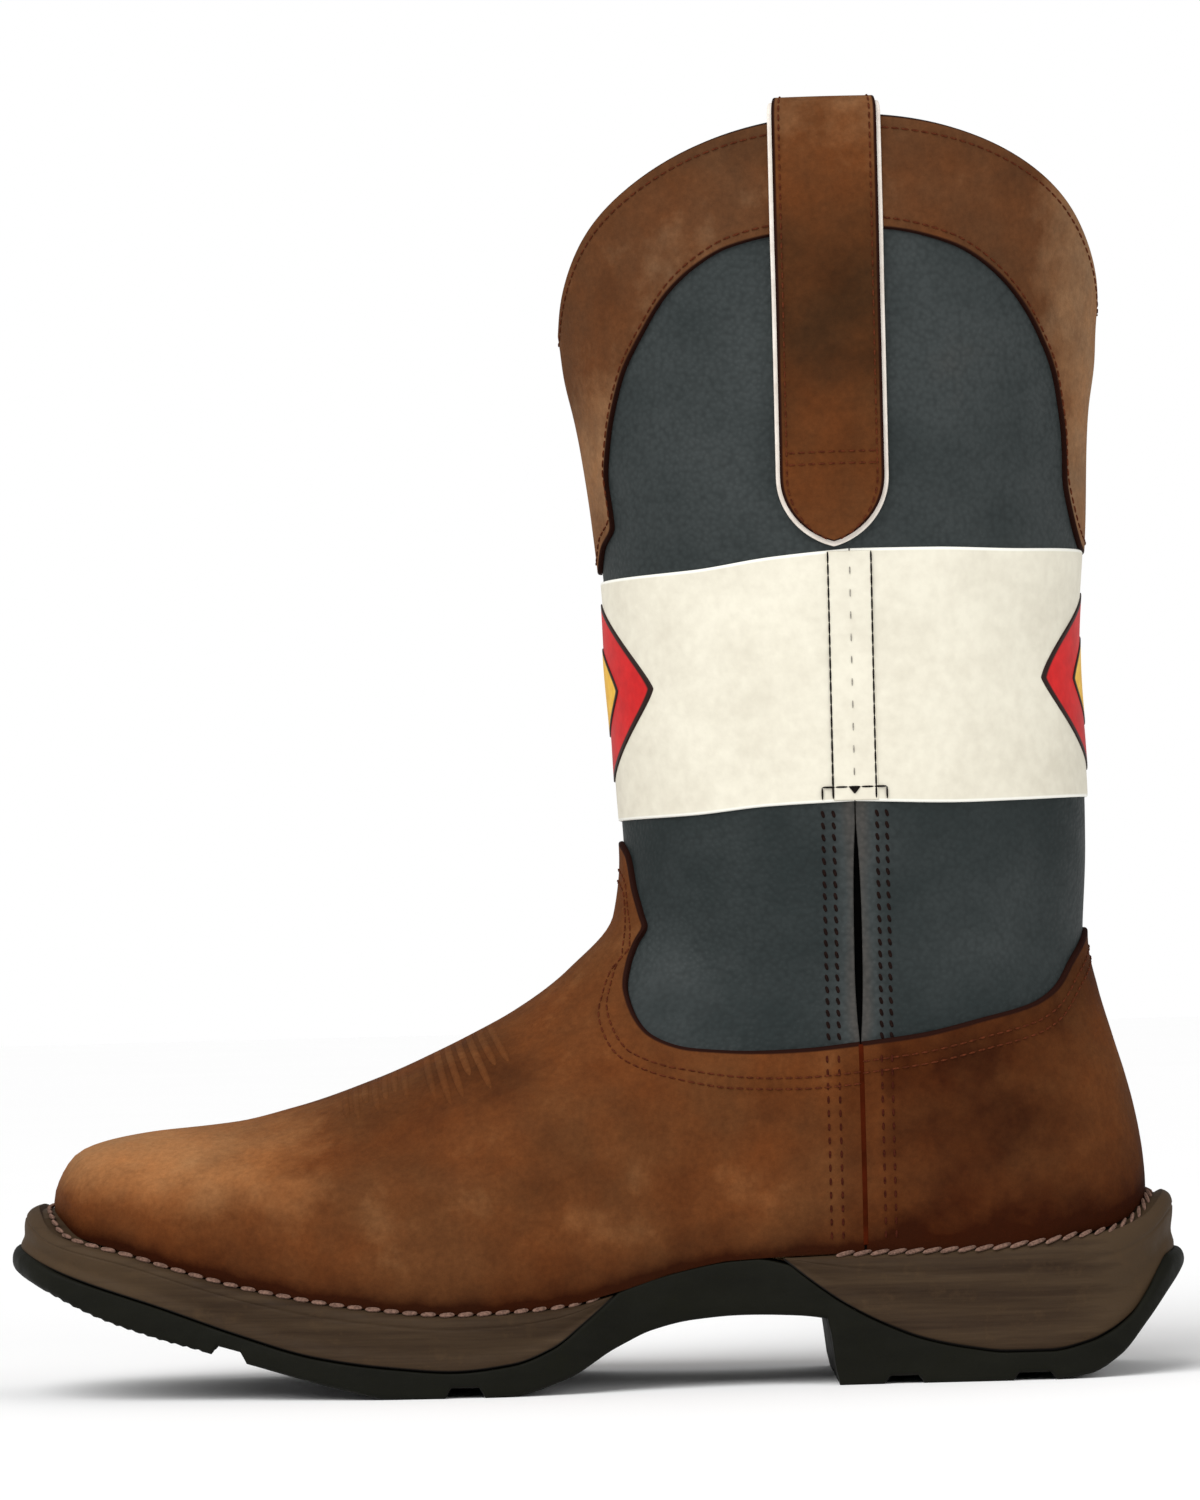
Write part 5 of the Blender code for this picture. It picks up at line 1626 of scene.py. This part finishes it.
def make_slab(name, layer, step, bottom, top, edge, columns, finish, replaces, extra=()):
    """A closed layer of the sole. Each section runs from the middle of its top over the left edge, round the
    lower corner, along the underside and up the right side. bottom is a function of x, y and the distance
    from the side; top is a function of x."""
    line, way = plan_side(layer, *plan_ends(layer), step, extra)
    x, half = line.T
    middle, high = through(FOOT_PLAN, x, 2), top(x)
    low = bottom(x, middle, 0.0 * x)
    tip = np.clip(TIP_TURN * way[:, 0] ** 2, 0.0, 1.0)
    radius = np.minimum(edge * (1.0 + TIP_EDGE * tip), (SLAB_SHARE + TIP_SHARE * tip) * (high - low))
    small = radius * (UPPER_EDGE + UPPER_TIP * tip)
    tall = small * (1.0 + TIP_TALL * tip)
    rise = [(-small * (1.0 - math.cos(a)), high - tall * (1.0 - math.sin(a))) for a in CORNER[::-1]]
    fall = [(-radius * (1.0 - math.cos(a)), low + radius * (1.0 - math.sin(a))) for a in CORNER]
    sides = {sign: [(x + o * way[:, 0], middle + sign * (half + o * way[:, 1]), z) for o, z in rise + fall]
             for sign in (-1, 1)}
    inset = half - radius * way[:, 1]
    shares = np.linspace(-1.0, 1.0, columns + 2)[1:-1]
    below = [(x - radius * way[:, 0], middle + s * inset, bottom(x, middle + s * inset, inset * (1 - abs(s))))
             for s in shares]
    over = [(x - small * way[:, 0], middle + s * (half - small * way[:, 1]), high) for s in shares[::-1]]
    centre = columns // 2
    loop = over[centre:] + sides[-1] + below + sides[1][::-1] + over[:centre]
    points = np.stack([np.stack(point, axis=-1) for point in loop], axis=1)
    return add_piece(name, points, loft_faces(points), finish, replaces)


print("rounded corners take", len(CORNER), "points")

# %% [markdown]
# ## Tread
# The underside is flat where the boot stands, rises at toe and waist and is crossed by four deep grooves,
# which show at the sides. The finer bars between them are a guess, kept well inside the edges. All of it is
# one height map over the plan, so the layer stays a single closed piece.

# %% Underside
GROOVES = ((-95.0, 6.0, 2.6), (-34.5, 7.0, 2.6), (77.5, 7.0, 2.0), (111.0, 8.0, 2.0))  # x, width, depth
GROOVE_SLOPE = 1.6  # run of a groove's slanting sides
BAR_PITCH, BAR_DEPTH, BAR_SWEEP = 8.0, 1.2, 0.35
BAR_WAVE = (0.1, 0.7)  # heights of a sine wave between which a bar's side rises
BAR_EDGE = (6.0, 8.0)  # the bars fade out over these distances from the side
TOOTH_PITCH, TOOTH_DEPTH = 2.8, 0.4
TOOTH_SPAN, TOOTH_FADE = (-141.0, -103.0), 4.0


def under(x, y, inside):
    """Height of the underside: its line, cross grooves with slanting sides, fine teeth at the toe, and bars
    swept back from the middle."""
    height = through(GROUND_LINE, x)
    for middle, width, depth in GROOVES:
        height = height + depth * (1.0 - np.clip((np.abs(x - middle) - width / 2) / GROOVE_SLOPE, 0.0, 1.0))
    first, last = TOOTH_SPAN
    at_toe = smooth(first - TOOTH_FADE, first, x) * (1.0 - smooth(last, last + TOOTH_FADE, x))
    height = height + at_toe * TOOTH_DEPTH * (0.5 + 0.5 * np.sin(2 * math.pi * x / TOOTH_PITCH))
    wave = np.sin(2 * math.pi * (x - BAR_SWEEP * np.abs(y)) / BAR_PITCH)
    return height + BAR_DEPTH * smooth(*BAR_WAVE, wave) * smooth(*BAR_EDGE, inside) * (1.0 - waist(x))


print(len(GROOVES), "deep grooves, and bars every %.1f mm" % BAR_PITCH)

# %% Tread and footbed
WELT_DROP = 3.6  # the seat of welt and insole below the sole line
TREAD_GAP, WAIST_GAP = 0.1, 0.15  # gaps over the tread, under the sidewalls and under the waist
INSOLE_GAP, INSOLE_RISE = 0.3, 1.5  # footbed's height over the tread and over the sole line
TREAD_STEP, TREAD_EDGE, TREAD_COLUMNS = 1.0, 1.3, 56
FOOTBED_STEP, FOOTBED_EDGE, FOOTBED_COLUMNS = 2.5, 1.0, 24


def tread_top(x):
    """The tread's upper face: just under the sidewalls, and just under the upper in the waist."""
    seat = through(SOLE_LINE, x) - WAIST_GAP - (WELT_DROP - WAIST_GAP) * (1.0 - waist(x))
    return np.minimum(through(TREAD_LINE, x) - TREAD_GAP, seat)


def insole_under(x, y, inside):
    """The footbed's lower face, over the tread's upper one; y and inside don't matter."""
    return through(SOLE_LINE, x) - WELT_DROP * (1.0 - waist(x)) + INSOLE_GAP


def insole_top(x):
    """The footbed's upper face, a rise over the sole line."""
    return through(SOLE_LINE, x) + INSOLE_RISE


knees = [middle + side * (width / 2 + slope) for middle, width, _ in GROOVES for side in (-1, 1)
         for slope in (0.0, GROOVE_SLOPE)]
knees += [row[0] for row in GROUND_LINE[HEEL_BREAST]]
tread = make_slab("tread", "outsole", TREAD_STEP, under, tread_top, TREAD_EDGE, TREAD_COLUMNS, BLACK,
                  ["outsole"], knees)
footbed = make_slab("footbed", "insole", FOOTBED_STEP, insole_under, insole_top, FOOTBED_EDGE,
                    FOOTBED_COLUMNS, FOOTBED, ["insole"])
print("tread and footbed:", len(tread.data.polygons), len(footbed.data.polygons), "faces")

# %% [markdown]
# ## Sidewalls
# The taupe sidewall has a rounded lip, a shallow neck above the tread and a ledge on which the welt's
# stitches lie beside the leather, and a fine moulded line below the lip. That section is a table of heights
# and offsets, carried along the outline round the toe or the heel between the tread line and the sole line.

# %% Section of the sidewalls
SIDEWALL = (  # share of the height, offset from the outline
    (0.00, -0.70), (0.03, -0.30), (0.10, -0.30), (0.32, -1.00), (0.60, -0.50), (0.72, -0.40), (0.76, -0.65),
    (0.80, -0.45), (0.90, -0.85), (0.97, -1.80), (1.00, -2.90),
)
FOOT_STEPS, NECK_STEPS, LIP_STEPS = (0.0, 0.1, 5), (0.14, 0.68, 9), (0.7, 1.0, 16)
SIDEWALL_STEPS = np.concatenate([np.linspace(*steps) for steps in (FOOT_STEPS, NECK_STEPS, LIP_STEPS)])
TOE_LIP, HEEL_LIP, LIP_POWER = 5.6, 3.0, 6  # rise of the lip at the tips


def round_tip(layer, start, end):
    """A layer's outline from one side of the waist round a tip to the other side: x, half width, way
    outwards, the side's sign and the margin past the upper, which grows from the sides to the tip."""
    line, way = plan_side(layer, start, end, 1.0)
    if start < TOE_X:
        line, way = line[::-1], way[::-1]
    side = np.repeat([-1.0, 1.0], len(line))
    line, way = np.concatenate([line, line[::-1]]), np.concatenate([way, way[::-1]])
    toe, flank, heel, narrow = MARGINS[layer]
    margin = flank + (narrow - flank) * waist(line[:, 0])
    to_toe, to_heel = np.clip(-way[:, 0], 0.0, 1.0) ** 2, np.clip(way[:, 0], 0.0, 1.0) ** 2
    margin += (toe - flank) * to_toe + (heel - flank) * to_heel
    return line[:, 0], line[:, 1], way, side, margin


def outline_points(x, half, way, side, offset, z):
    """Points an offset outwards from an outline, at heights z."""
    y = through(FOOT_PLAN, x, 2) + side * (half + offset * way[:, 1])
    return np.stack([x + offset * way[:, 0], y, z + 0.0 * x], axis=-1)


def lip_rise(way):
    """How far the lip rises over the seat: a power of the share by which the outline has turned to a tip."""
    return np.where(way[:, 0] < 0, TOE_LIP, HEEL_LIP) * way[:, 0] ** LIP_POWER


print("the sidewall's section has", len(SIDEWALL_STEPS), "steps and four corners")

# %% Sidewalls
PAST_TOE, PAST_HEEL = -200.0, 200.0  # beyond the tips, where an outline that rounds them begins or ends
FORE_END, HEEL_START = 3.6, 47.4  # ends of the sidewalls at the waist
LEDGE_DROP, LEDGE_EDGE = 0.3, -3.7  # the ledge lies this far below the lip, and starts this far behind it
LEDGE_RISE = 0.85  # share of the lip's rise that the ledge takes part in
LIP_LEAN = 2.4  # how far the lip leans back over the toe
INNER_MARGIN = -2.4  # the ledge ends this far under the leather
INNER_SHARE = 0.4  # share of the height at which the inner side has one more corner
LEAST_WALL, FULL_WALL, LEAST_SCALE = 0.3, 10.0, 0.15  # the section shrinks with walls lower than full
TOE_PALE, TOE_PALE_X = 0.7, (-95.0, -135.0)  # paler rubber round the toe
HEEL_PALE, HEEL_PALE_X = 0.9, (115.0, 142.0)  # and round the heel


def make_sidewall(name, start, end, replaces):
    """A closed strip: the sidewall's section carried along the outline from one side round the tip."""
    x, half, way, side, margin = round_tip("midsole", start, end)
    bottom, seat = through(TREAD_LINE, x) + TREAD_GAP, seat_line(x - margin * way[:, 0]) - SEAT_GAP
    lip, lean = lip_rise(way), LIP_LEAN * np.clip(-way[:, 0], 0.0, 1.0) ** LIP_POWER
    height = np.maximum(seat + lip - bottom, LEAST_WALL)
    scale = np.clip(height / FULL_WALL, LEAST_SCALE, 1.0)
    ledge, inner = seat + LEDGE_RISE * lip - LEDGE_DROP * scale, INNER_MARGIN - margin
    section = [(o * scale - lean * s ** 2, bottom + s * height)
               for s, o in zip(SIDEWALL_STEPS, through(SIDEWALL, SIDEWALL_STEPS))]
    section += [(LEDGE_EDGE * scale - lean, ledge), (inner, ledge)]
    section += [(inner, bottom + INNER_SHARE * height), (inner, bottom)]
    points = np.stack([outline_points(x, half, way, side, o, z) for o, z in section], axis=1)
    faces = loft_faces(points)
    if start > TOE_X:
        faces = faces[:, ::-1]
    above = np.stack([np.clip(z - bottom, 0.0, EDGE_REACH) for _, z in section], axis=1)
    tone = TOE_PALE * smooth(*TOE_PALE_X, x) + HEEL_PALE * smooth(*HEEL_PALE_X, x)
    values = {"edge_near": EDGE_REACH - above, "tone": tone[:, None] + 0.0 * above}
    return add_piece(name, points, faces, TAUPE, replaces, values)


fore_wall = make_sidewall("forefoot_sidewall", PAST_TOE, FORE_END, ["forefoot_midsole", "forefoot_welt"])
heel_wall = make_sidewall("heel_sidewall", HEEL_START, PAST_HEEL, ["heel_midsole", "heel_welt"])
print("sidewalls:", len(fore_wall.data.polygons), len(heel_wall.data.polygons), "faces")

# %% [markdown]
# ## Welt stitches
# Thick tan thread is sewn through the welt beside the leather. Its line keeps a fixed distance from the
# leather and rises with the ledge at both tips, so it is worked out from the ledge's own outline. A drawn
# curve would have to be moved each time the ledge is.

# %% Welt stitches
WELT_STITCH_OUT = 2.9  # distance of the welt's stitches past the upper's outline
WELT_STITCH_UP = 0.35  # their height over the seat
WELT_STITCH_LEAN = 0.5  # how far they lean outwards
WELT_ROWS = (
    # name                   ends              pitch, length, width, height   slant
    ("forefoot_welt_stitches", (PAST_TOE, 1.0), (4.7, 3.9, 1.2, 1.25), 0.15),
    ("heel_welt_stitches", (61.0, PAST_HEEL), (4.4, 5.4, 1.05, 1.2), 0.4),
)


def welt_line(start, end):
    """The line beside the leather along which the welt is sewn, from one side round the tip to the other."""
    x, half, way, side, margin = round_tip("midsole", start, end)
    points = outline_points(x, half, way, side, WELT_STITCH_OUT - margin, 0.0)
    seat = seat_line(x - margin * way[:, 0]) - SEAT_GAP
    points[:, 2] = seat + WELT_STITCH_UP + LEDGE_RISE * lip_rise(way)
    lean = WELT_STITCH_LEAN * way
    return points, unit(np.stack([lean[:, 0], side * lean[:, 1], np.ones_like(x)], axis=-1))


count = sum(make_stitches(name, [welt_line(*ends)], size, TAN_THREAD, slant)
            for name, ends, size, slant in WELT_ROWS)
print(count, "welt stitches")

# %% [markdown]
# ## Floor
# The boot stands on a plain pale floor, large enough that its rim is never seen. A plane would do; a disc
# has no corners that could show from above.

# %% Stage
FLOOR_RADIUS = 6000.0
FLOOR_SIDES = 96


def make_floor():
    """A flat disc, faintly uneven in shade."""
    turn = full_turn(FLOOR_SIDES)
    rim = np.stack([np.cos(turn), np.sin(turn), 0 * turn], axis=-1) * FLOOR_RADIUS * MM
    mesh = bpy.data.meshes.new("floor")
    mesh.from_pydata(rim.tolist(), [], [list(range(FLOOR_SIDES))])
    f = Finish("pale_floor", Roughness=0.9, Specular_IOR_Level=0.1)
    shade = f.mix(f.noise(6.0, 2.0), srgb(251, 251, 251), srgb(253, 253, 253))
    mesh.materials.append(f.done(Base_Color=shade))
    floor = bpy.data.objects.new("floor", mesh)
    bpy.context.scene.collection.objects.link(floor)


make_floor()
print("floor", FLOOR_RADIUS * 2 * MM, "metres across")

# %% [markdown]
# ## Light
# A white surround gives the soft, even light of a catalogue picture. One soft sun and a fill shape the
# leather a little. Softboxes would do the same; a sun needs no distance to be tuned.

# %% Lights
SURROUND_LIGHT, SURROUND_SEEN = 0.5, 1.0  # the surround's strength as light, and as the camera sees it
SUN_STRENGTH, SUN_SOFTNESS = 2.4, math.radians(50)
SUN_FROM = Vector((-0.55, -0.75, 1.05))
FILL_AT, FILL_SIZE, FILL_WATTS = Vector((1.1, -1.2, 0.7)), 0.9, 6.0
AIM = Vector((0.0, 0.0, 0.15))


def add_lamp(name, kind, place, **settings):
    """A lamp at a place, facing the boot's middle."""
    lamp = bpy.data.lights.new(name, kind)
    for key, value in settings.items():
        setattr(lamp, key, value)
    holder = bpy.data.objects.new(name, lamp)
    holder.matrix_world = Matrix.LocRotScale(place, (AIM - place).to_track_quat("-Z", "Y"), None)
    bpy.context.scene.collection.objects.link(holder)


def white_surround():
    """A white world that looks brighter than it lights, so that the boot keeps its dark tones."""
    world = bpy.data.worlds.new("white_surround")
    world.use_nodes = True
    tree = world.node_tree
    background = tree.nodes["Background"]
    background.inputs["Color"].default_value = (1.0, 1.0, 1.0, 1.0)
    path = tree.nodes.new("ShaderNodeLightPath")
    strength = tree.nodes.new("ShaderNodeMapRange")
    strength.inputs["To Min"].default_value = SURROUND_LIGHT
    strength.inputs["To Max"].default_value = SURROUND_SEEN
    tree.links.new(path.outputs["Is Camera Ray"], strength.inputs["Value"])
    tree.links.new(strength.outputs["Result"], background.inputs["Strength"])
    return world


add_lamp("key_sun", "SUN", SUN_FROM, energy=SUN_STRENGTH, angle=SUN_SOFTNESS)
add_lamp("fill_lamp", "AREA", FILL_AT, shape="DISK", size=FILL_SIZE, energy=FILL_WATTS)
bpy.context.scene.world = white_surround()
bpy.context.scene.view_settings.view_transform = "Standard"
print("one soft sun and one fill in a white surround")

# %% [markdown]
# ## Camera
# The camera stands far off on the boot's outer side with a long lens, low, and turned by a degree or so,
# which is how the picture was taken. From far off, both ends of the boot keep their true heights.

# %% Camera
CAMERA_AT, CAMERA_AIM = Vector((3.7, -1750.0, 118.0)), Vector((3.7, 0.0, 165.0))
CAMERA_LENS, CAMERA_ROLL = 160.2, math.radians(-1.45)
camera = bpy.data.objects.new("camera", bpy.data.cameras.new("camera"))
camera.data.lens = CAMERA_LENS
camera.data.dof.use_dof = False
view = (CAMERA_AIM - CAMERA_AT).to_track_quat("-Z", "Y").to_matrix() @ Matrix.Rotation(CAMERA_ROLL, 3, "Z")
camera.matrix_world = Matrix.LocRotScale(CAMERA_AT * MM, view, None)
bpy.context.scene.collection.objects.link(camera)
bpy.context.scene.camera = camera
print("camera %.2f m from the boot" % (CAMERA_AT.length * MM))

# %% [markdown]
# ## End

# %% End
print("the scene is built")
